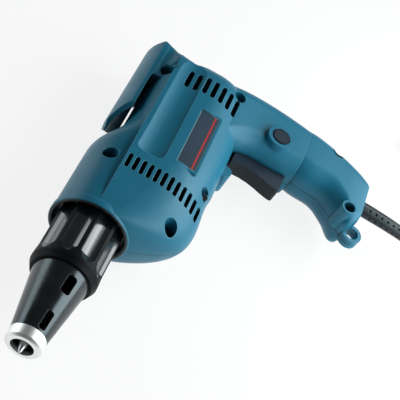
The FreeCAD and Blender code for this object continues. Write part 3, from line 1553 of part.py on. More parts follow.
for thing in doc.Objects:
    if "Invalid" in thing.State or "Error" in thing.State:
        raise RuntimeError("not built: " + thing.Name + " " + str(thing.State))
for label, thing in made.items():
    shape = thing.Shape
    if shape.isNull() or not shape.isValid():
        raise RuntimeError("bad shape: " + label)
    if len(shape.Solids) != 1:
        raise RuntimeError("not one solid: " + label + " " + str(len(shape.Solids)))
    shape.Solids[0].exportStep("parts/" + label + ".step")
    box = shape.optimalBoundingBox(True, False)
    print("%-24s vol %9.1f  x %7.1f %7.1f  y %7.1f %7.1f  z %6.1f %6.1f" % (
        label, shape.Volume, box.XMin, box.XMax, box.YMin, box.YMax, box.ZMin, box.ZMax))
print(len(made), "pieces")
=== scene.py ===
import json
import math
import bpy
import bmesh
from mathutils import Euler, Matrix, Vector


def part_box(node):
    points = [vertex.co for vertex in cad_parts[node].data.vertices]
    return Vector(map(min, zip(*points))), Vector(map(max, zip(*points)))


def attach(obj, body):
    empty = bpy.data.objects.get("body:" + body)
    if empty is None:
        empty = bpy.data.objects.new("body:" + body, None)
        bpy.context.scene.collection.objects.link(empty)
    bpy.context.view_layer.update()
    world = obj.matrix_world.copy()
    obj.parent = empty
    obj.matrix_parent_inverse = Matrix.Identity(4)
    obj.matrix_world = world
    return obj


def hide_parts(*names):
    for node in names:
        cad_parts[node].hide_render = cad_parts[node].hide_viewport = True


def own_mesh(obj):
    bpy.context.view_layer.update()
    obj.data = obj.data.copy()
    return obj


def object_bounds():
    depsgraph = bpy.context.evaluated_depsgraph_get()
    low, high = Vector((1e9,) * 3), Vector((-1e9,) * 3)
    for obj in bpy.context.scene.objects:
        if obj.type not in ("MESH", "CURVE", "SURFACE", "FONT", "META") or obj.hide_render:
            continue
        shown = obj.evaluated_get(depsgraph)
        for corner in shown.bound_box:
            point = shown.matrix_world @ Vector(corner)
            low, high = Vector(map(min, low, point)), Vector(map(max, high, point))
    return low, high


# Corded drywall screwdriver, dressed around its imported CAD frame, in metres.
# The nose points to -X, the belt hook to +Y and the tool's left side, which faces up, to +Z.

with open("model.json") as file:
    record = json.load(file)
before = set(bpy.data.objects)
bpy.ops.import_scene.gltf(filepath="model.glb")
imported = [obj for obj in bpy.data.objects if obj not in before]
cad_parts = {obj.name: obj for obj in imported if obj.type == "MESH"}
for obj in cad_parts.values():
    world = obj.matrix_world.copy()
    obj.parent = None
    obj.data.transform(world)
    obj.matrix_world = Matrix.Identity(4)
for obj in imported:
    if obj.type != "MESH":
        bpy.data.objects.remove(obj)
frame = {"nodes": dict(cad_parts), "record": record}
cad_box = [list(corner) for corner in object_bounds()]
floor_level = cad_box[0][2]
MM = 0.001

# Camera, fitted to the photograph.
CAMERA_PLACE = (-0.28314, 0.01385, 0.48439)
CAMERA_TURN_DEGREES = (36.916, -24.350, -70.156)
CAMERA_LENS_MM = 87.32
CAMERA_SENSOR_MM = 36.0
CAMERA_NEAREST = 10 * MM

camera_data = bpy.data.cameras.new("camera")
camera_data.sensor_width = CAMERA_SENSOR_MM
camera_data.sensor_fit = "HORIZONTAL"
camera_data.lens = CAMERA_LENS_MM
camera_data.clip_start = CAMERA_NEAREST
camera = bpy.data.objects.new("camera", camera_data)
camera.location = CAMERA_PLACE
camera.rotation_euler = Euler([math.radians(turn) for turn in CAMERA_TURN_DEGREES])
bpy.context.scene.collection.objects.link(camera)
bpy.context.scene.camera = camera

# Colours, as linear red, green and blue. BLUED tints the gloss of plastic and rubber.
WHITE = (1.0, 1.0, 1.0)
BLUED = (0.75, 0.92, 1.0)
TEAL = (0.011, 0.15, 0.24)
# A paler teal, painted along the housing's sharp edges as a highlight.
EDGE_HIGHLIGHT_TEAL = (0.08, 0.31, 0.42)
BLACK = (0.004, 0.0042, 0.005)
CHARCOAL = (0.015, 0.025, 0.040)
RUBBER_BLACK = (0.008, 0.009, 0.011)
CARBON_BLACK = (0.022, 0.022, 0.023)
FAN_BLACK = (0.025, 0.025, 0.026)
SCREW_BLACK = (0.03, 0.031, 0.035)
PLATE_DARK = (0.030, 0.052, 0.080)
PLATE_LIGHT = (0.036, 0.062, 0.094)
# A pale grey-blue painted round the plate's edges as a highlight.
PLATE_EDGE_HIGHLIGHT = (0.16, 0.22, 0.24)
LINE_RED = (0.50, 0.035, 0.03)
TIP_SILVER = (0.92, 0.945, 0.93)
STEEL_GREY = (0.52, 0.53, 0.54)
SHEET_GREY = (0.30, 0.30, 0.31)
ALLOY_GREY = (0.62, 0.63, 0.64)
BRONZE = (0.70, 0.46, 0.20)
COPPER = (0.50, 0.17, 0.05)

# How closely noise is packed along each axis. Packed along X it draws fine rings round X, and packed along
# Y and Z it draws fine lines along X.
EVEN = (1, 1, 1)
RINGS_ROUND_X = (40, 1, 1)
SHEETS_ACROSS_X = (90, 1, 1)
WIRES_ALONG_X = (1, 30, 30)

# Noise: the span that holds most of its values, and how its finer layers fade.
NOISE_MIDDLE = (0.3, 0.7)
NOISE_ROUGHNESS = 0.55

# Rays from which a softened edge is worked out.
BEVEL_SAMPLES = 6


def corners_of(node):
    """A node's lowest and highest corners."""
    return [Vector(corner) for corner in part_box(node)]


# Material helpers.

def new_material(name):
    """An empty node material with its Principled shader."""
    material = bpy.data.materials.new(name)
    material.use_nodes = True
    tree = material.node_tree
    return material, tree, tree.nodes["Principled BSDF"]


def add(tree, kind, **values):
    """One node, with its sockets and settings filled in."""
    node = tree.nodes.new(kind)
    for key, value in values.items():
        if key in node.inputs:
            node.inputs[key].default_value = value
        else:
            setattr(node, key, value)
    return node


def own_place(tree):
    """The place on the object, which at rest is that in the CAD's frame."""
    return add(tree, "ShaderNodeTexCoord").outputs["Object"]


def axes_of(tree, vector):
    """A vector's X, Y and Z, by name."""
    parts = add(tree, "ShaderNodeSeparateXYZ")
    tree.links.new(vector, parts.inputs[0])
    return parts.outputs


def noise(tree, size, packed=EVEN, detail=3.0):
    """Noise in the object's own place, whose lumps are about one size across."""
    scale = add(tree, "ShaderNodeMapping", Scale=packed)
    tree.links.new(own_place(tree), scale.inputs["Vector"])
    texture = add(tree, "ShaderNodeTexNoise", Scale=1 / size, Detail=detail, Roughness=NOISE_ROUGHNESS)
    tree.links.new(scale.outputs["Vector"], texture.inputs["Vector"])
    return texture.outputs["Fac"]


def between(tree, value, start, end, low=0.0, high=1.0):
    """A number that goes from low to high as a value goes from start to end, and no further."""
    reach = add(tree, "ShaderNodeMapRange")
    for socket, number in (("From Min", start), ("From Max", end), ("To Min", low), ("To Max", high)):
        reach.inputs[socket].default_value = number
    tree.links.new(value, reach.inputs["Value"])
    return reach.outputs["Result"]


def spread(tree, factor, low, high):
    """The middle span of a noise moved to a range of values."""
    return between(tree, factor, *NOISE_MIDDLE, low, high)


def product(tree, first, second):
    """Two shares multiplied."""
    both = add(tree, "ShaderNodeMath", operation="MULTIPLY")
    tree.links.new(first, both.inputs[0])
    tree.links.new(second, both.inputs[1])
    return both.outputs[0]


def shades(tree, factor, dark, light):
    """A ramp between two colours over the middle span of a noise."""
    ramp = add(tree, "ShaderNodeValToRGB")
    for element, place, colour in zip(ramp.color_ramp.elements, NOISE_MIDDLE, (dark, light)):
        element.position = place
        element.color = (*colour, 1)
    tree.links.new(factor, ramp.inputs["Fac"])
    return ramp.outputs["Color"]


def mixed(tree, share, first, second):
    """Two colours mixed by a share; each is a plain colour or what a node gives out."""
    mix = add(tree, "ShaderNodeMixRGB")
    tree.links.new(share, mix.inputs["Fac"])
    for socket, colour in (("Color1", first), ("Color2", second)):
        if isinstance(colour, tuple):
            mix.inputs[socket].default_value = (*colour, 1)
        else:
            tree.links.new(colour, mix.inputs[socket])
    return mix.outputs["Color"]


def scaled(colour, share):
    """A colour made darker or lighter."""
    return tuple(min(1.0, part * share) for part in colour)


def bumped(tree, shader, layers, edge=0.0):
    """Bump layers, each a height and its depth in metres, over an edge softening."""
    normal = None
    if edge:
        soft = add(tree, "ShaderNodeBevel", samples=BEVEL_SAMPLES, Radius=edge)
        normal = soft.outputs["Normal"]
    for height, depth in layers:
        bump = add(tree, "ShaderNodeBump", Strength=1.0, Distance=depth)
        tree.links.new(height, bump.inputs["Height"])
        if normal:
            tree.links.new(normal, bump.inputs["Normal"])
        normal = bump.outputs["Normal"]
    tree.links.new(normal, shader.inputs["Normal"])


# Moulded plastic and rubber: sizes of the drifts, and how far the roughness goes down and up.
COLOUR_LUMPS = 35 * MM
GLOSS_LUMPS = 12 * MM
GLOSSIER = 0.05
DULLER = 0.06
MOULD_EDGE = 0.4 * MM


def moulded(name, colour, rough, grain, depth, drift=0.08, specular=0.5, tint=WHITE):
    """Mould grain of a size and a depth, and a slow drift of colour and of gloss."""
    material, tree, shader = new_material(name)
    slow = noise(tree, COLOUR_LUMPS, detail=4.0)
    tone = shades(tree, slow, scaled(colour, 1 - drift), scaled(colour, 1 + drift))
    tree.links.new(tone, shader.inputs["Base Color"])
    gloss = spread(tree, noise(tree, GLOSS_LUMPS), rough - GLOSSIER, rough + DULLER)
    tree.links.new(gloss, shader.inputs["Roughness"])
    shader.inputs["Specular IOR Level"].default_value = specular
    shader.inputs["Specular Tint"].default_value = (*tint, 1)
    bumped(tree, shader, [(noise(tree, grain, detail=2.0), depth)], MOULD_EDGE)
    return material


# Metals: sizes of the lines and stains, and how far the roughness goes down and up.
METAL_LINES = 1.2 * MM
METAL_STAINS = 9 * MM
METAL_STAIN_SHARE = 0.88
METAL_SMOOTHER = 0.07
METAL_ROUGHER = 0.1
METAL_EDGE = 0.3 * MM
LINE_DEPTH = 0.004 * MM


def metal(name, colour, rough, lines, depth=LINE_DEPTH):
    """Turned, drawn or cast metal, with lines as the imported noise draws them, and faint stains."""
    material, tree, shader = new_material(name)
    line = noise(tree, METAL_LINES, packed=lines)
    stain = noise(tree, METAL_STAINS, detail=4.0)
    tone = shades(tree, stain, scaled(colour, METAL_STAIN_SHARE), colour)
    tree.links.new(tone, shader.inputs["Base Color"])
    gloss = spread(tree, line, rough - METAL_SMOOTHER, rough + METAL_ROUGHER)
    tree.links.new(gloss, shader.inputs["Roughness"])
    shader.inputs["Metallic"].default_value = 1.0
    bumped(tree, shader, [(line, depth)], METAL_EDGE)
    return material


# Housing. Its sharp edges get a painted highlight on the body, and not on the handle, which lies lower in Y.
# The edge cosines are those of the angles by which an edge turns the normal, from no painted highlight to
# full.
HOUSING_GRAIN = 0.55 * MM
HOUSING_GRAIN_DEPTH = 0.01 * MM
HOUSING_EDGE = 0.5 * MM
HOUSING_DRIFT = 0.05
HOUSING_ROUGH = (0.36, 0.46)
HOUSING_SPECULAR = 0.4
SEAM_HALF = 0.36 * MM
SEAM_DEPTH = 0.2 * MM
SEAM_SHARE = 0.22
EDGE_HIGHLIGHT_RADIUS = 0.9 * MM
EDGE_HIGHLIGHT_COSINES = (0.985, 0.88)
EDGE_HIGHLIGHT_SPAN_Y = (-68 * MM, -56 * MM)
# Painted shade in recesses: the teal is darkened where ambient occlusion finds the surface closed in.
CAVITY_SHADE_REACH = 9 * MM
CAVITY_SHADE_SAMPLES = 8
CAVITY_SHADE_SPAN = (0.3, 0.68)
CAVITY_SHADE_SHARE = 0.2


def edge_share(tree, radius):
    """One along sharp edges and nought on faces, from how far a rounded edge would turn the normal."""
    soft = add(tree, "ShaderNodeBevel", samples=BEVEL_SAMPLES, Radius=radius)
    true = add(tree, "ShaderNodeNewGeometry")
    same = add(tree, "ShaderNodeVectorMath", operation="DOT_PRODUCT")
    tree.links.new(soft.outputs["Normal"], same.inputs[0])
    tree.links.new(true.outputs["Normal"], same.inputs[1])
    return between(tree, same.outputs["Value"], *EDGE_HIGHLIGHT_COSINES)


def housing_plastic(name):
    """Teal moulding: mould grain, a painted highlight along sharp edges, painted shade in recesses and a dark
    line where the halves meet.
    """
    material, tree, shader = new_material(name)
    axes = axes_of(tree, own_place(tree))
    slow = noise(tree, COLOUR_LUMPS, detail=4.0)
    tone = shades(tree, slow, scaled(TEAL, 1 - HOUSING_DRIFT), scaled(TEAL, 1 + HOUSING_DRIFT))
    # Painted highlight: the body's sharp edges are lightened towards a paler teal.
    on_body = between(tree, axes["Y"], *EDGE_HIGHLIGHT_SPAN_Y)
    edge_highlight_share = product(tree, edge_share(tree, EDGE_HIGHLIGHT_RADIUS), on_body)
    edge_highlighted = mixed(tree, edge_highlight_share, tone, EDGE_HIGHLIGHT_TEAL)
    # Painted shade: recesses, gaps and corners are darkened by ambient occlusion.
    occlusion = add(tree, "ShaderNodeAmbientOcclusion", samples=CAVITY_SHADE_SAMPLES, Distance=CAVITY_SHADE_REACH)
    unshaded = between(tree, occlusion.outputs["AO"], *CAVITY_SHADE_SPAN)
    cavity_shaded = mixed(tree, unshaded, scaled(TEAL, CAVITY_SHADE_SHARE), edge_highlighted)
    away = add(tree, "ShaderNodeMath", operation="ABSOLUTE")
    tree.links.new(axes["Z"], away.inputs[0])
    off_seam = between(tree, away.outputs[0], SEAM_HALF / 2, SEAM_HALF)
    tree.links.new(mixed(tree, off_seam, scaled(TEAL, SEAM_SHARE), cavity_shaded), shader.inputs["Base Color"])
    shader.inputs["Specular IOR Level"].default_value = HOUSING_SPECULAR
    shader.inputs["Specular Tint"].default_value = (*BLUED, 1)
    tree.links.new(spread(tree, noise(tree, GLOSS_LUMPS), *HOUSING_ROUGH), shader.inputs["Roughness"])
    grain = noise(tree, HOUSING_GRAIN, detail=2.0)
    bumped(tree, shader, [(grain, HOUSING_GRAIN_DEPTH), (off_seam, SEAM_DEPTH)], HOUSING_EDGE)
    return material


# Bare plate, with a painted highlight round its edges.
PLATE_BORDER = 0.5 * MM
RED_LINE_LOW = 2.3 * MM
RED_LINE_HIGH = 3.5 * MM
PRINT_SOFT = 0.08 * MM
PLATE_COLOUR_LUMPS = 20 * MM
PLATE_GLOSS_LUMPS = 30 * MM
PLATE_ROUGH = (0.32, 0.36)
PLATE_GRAIN = 1.2 * MM
PLATE_GRAIN_DEPTH = 0.0006 * MM


def band(tree, value, low, high):
    """One inside a range of values and nought outside it, with the print's soft edges."""
    above = between(tree, value, low - PRINT_SOFT, low + PRINT_SOFT)
    below = between(tree, value, high + PRINT_SOFT, high - PRINT_SOFT)
    return product(tree, above, below)


def printed_plate(name):
    """Dark bare plate with a painted highlight round its edges and one red line along its lower side."""
    material, tree, shader = new_material(name)
    low, high = corners_of("side_plate")
    axes = axes_of(tree, own_place(tree))
    inner_x = band(tree, axes["X"], low.x + PLATE_BORDER, high.x - PLATE_BORDER)
    inner_y = band(tree, axes["Y"], low.y + PLATE_BORDER, high.y - PLATE_BORDER)
    line_y = band(tree, axes["Y"], low.y + RED_LINE_LOW, low.y + RED_LINE_HIGH)
    bare = shades(tree, noise(tree, PLATE_COLOUR_LUMPS, detail=4.0), PLATE_DARK, PLATE_LIGHT)
    # Painted highlight: a pale band round the plate's edges.
    highlight_framed = mixed(tree, product(tree, inner_x, inner_y), PLATE_EDGE_HIGHLIGHT, bare)
    lined = mixed(tree, product(tree, line_y, inner_x), highlight_framed, LINE_RED)
    tree.links.new(lined, shader.inputs["Base Color"])
    gloss = spread(tree, noise(tree, PLATE_GLOSS_LUMPS, detail=1.0), *PLATE_ROUGH)
    tree.links.new(gloss, shader.inputs["Roughness"])
    bumped(tree, shader, [(noise(tree, PLATE_GRAIN, detail=1.0), PLATE_GRAIN_DEPTH)])
    return material


# Trigger and lock button: charcoal with painted shade on the finger's face and along the button's rim.
CHARCOAL_SHADE_SHARE = 0.2
FINGER_NORMALS = (-0.35, -0.75)
BUTTON_RADIUS = 6.7 * MM
BUTTON_RIM_START = BUTTON_RADIUS - 1.0 * MM
BUTTON_RIM_FULL = BUTTON_RADIUS - 0.7 * MM
ACROSS_X = (0, 1, 1)
ACROSS_Z = (1, 1, 0)


def radius_from(tree, node, across):
    """The distance from a node's middle line, measured across it."""
    low, high = corners_of(node)
    away = add(tree, "ShaderNodeVectorMath", operation="SUBTRACT")
    tree.links.new(own_place(tree), away.inputs[0])
    away.inputs[1].default_value = (low + high) / 2
    flat = add(tree, "ShaderNodeVectorMath", operation="MULTIPLY")
    tree.links.new(away.outputs[0], flat.inputs[0])
    flat.inputs[1].default_value = across
    length = add(tree, "ShaderNodeVectorMath", operation="LENGTH")
    tree.links.new(flat.outputs[0], length.inputs[0])
    return length.outputs["Value"]


# Painted shade on the trigger's faces that look to -X.
def finger_face(tree):
    """One on the faces that the finger pulls, which look to -X, and nought elsewhere."""
    true = add(tree, "ShaderNodeNewGeometry")
    return between(tree, axes_of(tree, true.outputs["Normal"])["X"], *FINGER_NORMALS)


# Painted shade round the button's rim, standing for the dark gap between the button and its collar.
def button_rim(tree):
    """One along the rim of the round button, whose axis is Z, and nought inside it."""
    radius = radius_from(tree, "lock_button", ACROSS_Z)
    return between(tree, radius, BUTTON_RIM_START, BUTTON_RIM_FULL)


def charcoal_with_painted_shade(name, shade_mask):
    """Matt charcoal with painted shade where a share of the surface, made by a function, is one."""
    material = moulded(name, CHARCOAL, rough=0.42, grain=0.5 * MM, depth=0.006 * MM,
                       specular=0.3, tint=BLUED)
    tree = material.node_tree
    base = tree.nodes["Principled BSDF"].inputs["Base Color"]
    tone = base.links[0].from_socket
    # Painted shade: the charcoal is darkened where the mask is one.
    tree.links.new(mixed(tree, shade_mask(tree), tone, scaled(CHARCOAL, CHARCOAL_SHADE_SHARE)), base)
    return material


# Locking sleeve: where its flutes start along X, the radii that part them from the lands, and their gloss.
FLUTE_START = 58 * MM
FLUTE_INSIDE = 21.9 * MM
FLUTE_OUTSIDE = 22.25 * MM
FLUTE_COAT_IOR = 1.8
FLUTE_COAT_ROUGH = 0.16


def fluted_black(name):
    """Black plastic that is glossy in the sleeve's flutes, and matt on the lands and on its front."""
    material = moulded(name, BLACK, rough=0.5, grain=0.8 * MM, depth=0.002 * MM,
                       specular=0.13, tint=BLUED)
    tree = material.node_tree
    shader = tree.nodes["Principled BSDF"]
    shader.inputs["Coat IOR"].default_value = FLUTE_COAT_IOR
    shader.inputs["Coat Roughness"].default_value = FLUTE_COAT_ROUGH
    shader.inputs["Coat Tint"].default_value = (*BLUED, 1)
    sunk = between(tree, radius_from(tree, "lock_sleeve", ACROSS_X), FLUTE_OUTSIDE, FLUTE_INSIDE)
    behind = add(tree, "ShaderNodeMath", operation="GREATER_THAN")
    behind.inputs[1].default_value = FLUTE_START
    tree.links.new(axes_of(tree, own_place(tree))["X"], behind.inputs[0])
    tree.links.new(product(tree, sunk, behind.outputs[0]), shader.inputs["Coat Weight"])
    return material


# One look for each of the record's material slots, and three nodes with a look of their own.
LOOKS = {
    "housing": housing_plastic("housing_teal"),
    "black_plastic": moulded("satin_black", BLACK, rough=0.24, grain=0.8 * MM, depth=0.002 * MM,
                             specular=0.8, tint=BLUED),
    "plate": printed_plate("plate_dark"),
    "tip_metal": metal("turned_tip", TIP_SILVER, rough=0.42, lines=RINGS_ROUND_X, depth=0.001 * MM),
    "steel": metal("ground_steel", STEEL_GREY, rough=0.3, lines=RINGS_ROUND_X),
    "laminations": metal("stacked_sheet", SHEET_GREY, rough=0.42, lines=SHEETS_ACROSS_X, depth=0.02 * MM),
    "cast_alloy": metal("cast_alloy", ALLOY_GREY, rough=0.45, lines=EVEN, depth=0.01 * MM),
    "bronze": metal("bronze", BRONZE, rough=0.35, lines=RINGS_ROUND_X),
    "winding": metal("enamelled_wire", COPPER, rough=0.32, lines=WIRES_ALONG_X, depth=0.06 * MM),
    "carbon": moulded("carbon", CARBON_BLACK, rough=0.6, grain=0.4 * MM, depth=0.01 * MM),
    "fan_plastic": moulded("fan_black", FAN_BLACK, rough=0.5, grain=0.6 * MM, depth=0.01 * MM),
    "rubber": moulded("black_rubber", RUBBER_BLACK, rough=0.46, grain=0.4 * MM, depth=0.008 * MM,
                      drift=0.12, tint=BLUED),
}
NODE_LOOKS = {
    "lock_sleeve": fluted_black("sleeve_black"),
    "trigger": charcoal_with_painted_shade("trigger_charcoal", finger_face),
    "lock_button": charcoal_with_painted_shade("button_charcoal", button_rim),
}
node_slots = {part["node"]: part["material_slot"] for part in frame["record"]["subparts"]}
for name, thing in frame["nodes"].items():
    thing.data.materials.clear()
    thing.data.materials.append(NODE_LOOKS.get(name) or LOOKS[node_slots[name]])

# Geometry helpers: how finely they divide what is round, and how near two points or lengths are the same.
SPLINE_ORDER = 3
SPLINE_STEPS = 8
TUBE_STEPS = 6
RIM_STEPS = 2
CORNER_STEPS = 5
WELD_DISTANCE = 0.001 * MM
ROUNDING = 1e-9


def piece_of(name, shape, body, slot, look=None):
    """A finished piece on a body, with the look of one of the record's slots, unless it has its own."""
    thing = bpy.data.objects.new(name, shape)
    bpy.context.scene.collection.objects.link(thing)
    shape.materials.append(look or LOOKS[slot])
    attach(thing, body)
    return thing


def spline(name, points, radius=0.0):
    """A NURBS curve that has these control points."""
    curve = bpy.data.curves.new(name, "CURVE")
    curve.dimensions = "3D"
    line = curve.splines.new("NURBS")
    line.points.add(len(points) - 1)
    for knot, point in zip(line.points, points):
        knot.co = (*point, 1)
    line.order_u = SPLINE_ORDER
    line.use_endpoint_u = True
    line.resolution_u = SPLINE_STEPS
    curve.bevel_depth = radius
    curve.bevel_resolution = TUBE_STEPS
    curve.use_fill_caps = True
    return curve


def mesh_from(name, curve):
    """The mesh that a curve makes."""
    thing = bpy.data.objects.new(name, curve)
    bpy.context.scene.collection.objects.link(thing)
    mesh = bpy.data.meshes.new_from_object(thing.evaluated_get(bpy.context.evaluated_depsgraph_get()))
    bpy.data.objects.remove(thing)
    return mesh


def points_along(name, points):
    """Points read from a NURBS curve with no bevel."""
    return [vertex.co.copy() for vertex in mesh_from(name, spline(name, points)).vertices]


def outline_mesh(name, outlines, depth, rim):
    """A mesh thickened about the XY plane from closed outlines, the inner ones holes, with rounded rims."""
    curve = bpy.data.curves.new(name, "CURVE")
    curve.dimensions = "2D"
    curve.fill_mode = "BOTH"
    curve.extrude = depth / 2 - rim
    curve.bevel_depth = rim
    curve.bevel_resolution = RIM_STEPS
    for points in outlines:
        line = curve.splines.new("POLY")
        line.points.add(len(points) - 1)
        for knot, point in zip(line.points, points):
            knot.co = (point[0], point[1], 0, 1)
        line.use_cyclic_u = True
    return mesh_from(name, curve)


def joined(name, parts):
    """One mesh from several, each with the matrix that puts it in place."""
    made = bmesh.new()
    for mesh, matrix in parts:
        part = bmesh.new()
        part.from_mesh(mesh)
        bmesh.ops.remove_doubles(part, verts=part.verts, dist=WELD_DISTANCE)
        bmesh.ops.transform(part, matrix=matrix, verts=part.verts)
        bmesh.ops.recalc_face_normals(part, faces=part.faces)
        moved = bpy.data.meshes.new(name)
        part.to_mesh(moved)
        part.free()
        made.from_mesh(moved)
    whole = bpy.data.meshes.new(name)
    made.to_mesh(whole)
    made.free()
    return whole


def ring_points(radius, count):
    """Points evenly round a circle about the origin."""
    turns = [2 * math.pi * k / count for k in range(count)]
    return [(radius * math.cos(turn), radius * math.sin(turn)) for turn in turns]


def rounded(width, height, corner):
    """A rectangle's outline with round corners, about the origin."""
    points = []
    for k, (a, b) in enumerate(((1, 1), (-1, 1), (-1, -1), (1, -1))):
        for step in range(CORNER_STEPS + 1):
            turn = math.pi / 2 * (k + step / CORNER_STEPS)
            points.append((
                a * (width / 2 - corner) + corner * math.cos(turn),
                b * (height / 2 - corner) + corner * math.sin(turn),
            ))
    return points


def skin(made, rows, closed):
    """Faces between each row of corners and the next; closed rows run round to their start."""
    for low, high in zip(rows, rows[1:]):
        for j in range(len(low) if closed else len(low) - 1):
            k = (j + 1) % len(low)
            made.faces.new((low[j], low[k], high[k], high[j]))


def smooth_mesh(name, made):
    """A smooth mesh from a bmesh, which it frees."""
    bmesh.ops.recalc_face_normals(made, faces=made.faces)
    mesh = bpy.data.meshes.new(name)
    made.to_mesh(mesh)
    made.free()
    for face in mesh.polygons:
        face.use_smooth = True
    return mesh


def swept(name, line, rings, around, radius_at):
    """A tube along a line of points; its radius comes from the distance along and the turn."""
    reach = [0.0]
    for first, second in zip(line, line[1:]):
        reach.append(reach[-1] + (second - first).length)
    made = bmesh.new()
    side = Vector((1, 0, 0))
    loops = []
    for k in range(rings + 1):
        far = reach[-1] * k / rings
        n = max(i for i in range(len(line) - 1) if reach[i] <= far + ROUNDING)
        share = (far - reach[n]) / (reach[n + 1] - reach[n])
        middle = line[n].lerp(line[n + 1], share)
        way = (line[n + 1] - line[n]).normalized()
        side = (side - way * side.dot(way)).normalized()
        up = way.cross(side)
        loop = []
        for j in range(around):
            turn = 2 * math.pi * j / around
            radius = radius_at(far, turn, reach[-1])
            out = side * math.cos(turn) + up * math.sin(turn)
            loop.append(made.verts.new(middle + out * radius))
        loops.append(loop)
    skin(made, loops, True)
    made.faces.new(loops[0][::-1])
    made.faces.new(loops[-1])
    return smooth_mesh(name, made)


# Cord: out of the guard, down to the floor and into the coil, as in the CAD route.
CORD_RADIUS = 3.8 * MM
CORD_EXIT = Vector((250.0, -229.6, -9.0)) * MM
COIL_X = 257.92 * MM
COIL_Y = -315.2 * MM
COIL_RADIUS = 57.0 * MM
CORD_PITCH = 8.2 * MM
HALF_TURNS = 8
POINTS_PER_HALF_TURN = 8
COIL_TAIL = 50.0 * MM
TAIL_SHARES = (0.3, 1.0)
cord_level = floor_level + CORD_RADIUS
CORD_ROUTE = [
    CORD_EXIT,
    Vector((256.6, -259.6, -18.0)) * MM,
    Vector((COIL_X, -283.6 * MM, cord_level)),
    Vector((COIL_X, -307.6 * MM, cord_level)),
]


def half_turns():
    """Radius and rise of each half turn: inwards on the floor, up one layer, and outwards on top."""
    rows = [(COIL_RADIUS - CORD_PITCH / 2 * k, 0.0) for k in range(HALF_TURNS)]
    inmost = rows[-1][0] - CORD_PITCH / 2
    rows.append((inmost, CORD_PITCH))
    rows.extend((inmost + CORD_PITCH / 2 * (k + 1), 0.0) for k in range(HALF_TURNS))
    return rows


def coil_points():
    """Control points of the coil's half turns, and of the tail that runs on to the plug."""
    points = []
    start = COIL_X
    way = 1
    level = cord_level
    for radius, rise in half_turns():
        middle = start + way * radius
        wide = radius / math.cos(math.pi / POINTS_PER_HALF_TURN / 2)
        for k in range(POINTS_PER_HALF_TURN):
            share = (k + 0.5) / POINTS_PER_HALF_TURN
            points.append(Vector((
                middle - way * wide * math.cos(math.pi * share),
                COIL_Y - way * wide * math.sin(math.pi * share),
                level + rise * share,
            )))
        start += way * 2 * radius
        way = -way
        level += rise
    points.extend(Vector((start, COIL_Y + COIL_TAIL * share, level)) for share in TAIL_SHARES)
    return points


cord_curve = spline("supply_cord", CORD_ROUTE + coil_points(), CORD_RADIUS)
cord = piece_of("supply_cord", cord_curve, "housing", "rubber")
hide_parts("cord", "cord_coil")

# Strap that holds the coil together, with its loose end lying on top.
TIE_WIDTH = 9.0 * MM
TIE_SPAN = 38.6 * MM
TIE_HEIGHT = 17.0 * MM
TIE_THICKNESS = 0.9 * MM
TIE_RADIUS = 43.0 * MM
TIE_ROUND = 5.0 * MM
TIE_RIM = 0.2 * MM
TIE_END_SPAN_SHARE = 0.5
TIE_END_WIDTH_SHARE = 0.94
TIE_END_ASIDE_SHARE = 0.12
TIE_END_ROUND_SHARE = 0.4
TIE_END_RISE_SHARE = 0.4
tie_loop = outline_mesh("tie_loop", [
    rounded(TIE_SPAN, TIE_HEIGHT, TIE_ROUND),
    rounded(TIE_SPAN - TIE_THICKNESS * 2, TIE_HEIGHT - TIE_THICKNESS * 2, TIE_ROUND - TIE_THICKNESS),
], TIE_WIDTH, TIE_RIM)
tie_end_outline = rounded(TIE_SPAN * TIE_END_SPAN_SHARE, TIE_THICKNESS, TIE_THICKNESS * TIE_END_ROUND_SHARE)
tie_end = outline_mesh("tie_end", [tie_end_outline], TIE_WIDTH * TIE_END_WIDTH_SHARE, TIE_RIM)

# An outline that stands up has its width along Y, its height along Z and its depth along X.
standing = Matrix(((0, 0, 1, 0), (1, 0, 0, 0), (0, 1, 0, 0), (0, 0, 0, 1)))
tie_place = Vector((COIL_X + COIL_RADIUS, COIL_Y - TIE_RADIUS, floor_level + TIE_HEIGHT / 2))
tie_rise = TIE_HEIGHT / 2 + TIE_THICKNESS * TIE_END_RISE_SHARE
tie_top = tie_place + Vector((0, TIE_SPAN * TIE_END_ASIDE_SHARE, tie_rise))
tie = piece_of("coil_tie", joined("coil_tie", [
    (tie_loop, Matrix.Translation(tie_place) @ standing),
    (tie_end, Matrix.Translation(tie_top) @ standing),
]), "housing", "rubber")

# Cord guard: a tapered rubber boot with staggered rows of dimples, from the socket in the handle to the cord.
GUARD_ROUTE = [
    Vector((243.4, -152.0, 0.0)) * MM,
    Vector((243.4, -182.0, 0.0)) * MM,
    Vector((245.2, -203.0, -2.4)) * MM,
    CORD_EXIT,
]
GUARD_RADIUS = 5.55 * MM
GUARD_END_RADIUS = 4.75 * MM
GUARD_LIP = 1.2 * MM
GUARD_RINGS = 260
GUARD_SIDES = 96
DIMPLE_START = 24.0 * MM
DIMPLE_STEP = 5.3 * MM
DIMPLE_RADIUS = 0.95 * MM
DIMPLE_DEPTH = 1.1 * MM
DIMPLE_STEEPNESS = 2.5
DIMPLE_ROWS = 6


def clamped(value):
    """A value kept between nought and one."""
    return min(1.0, max(0.0, value))


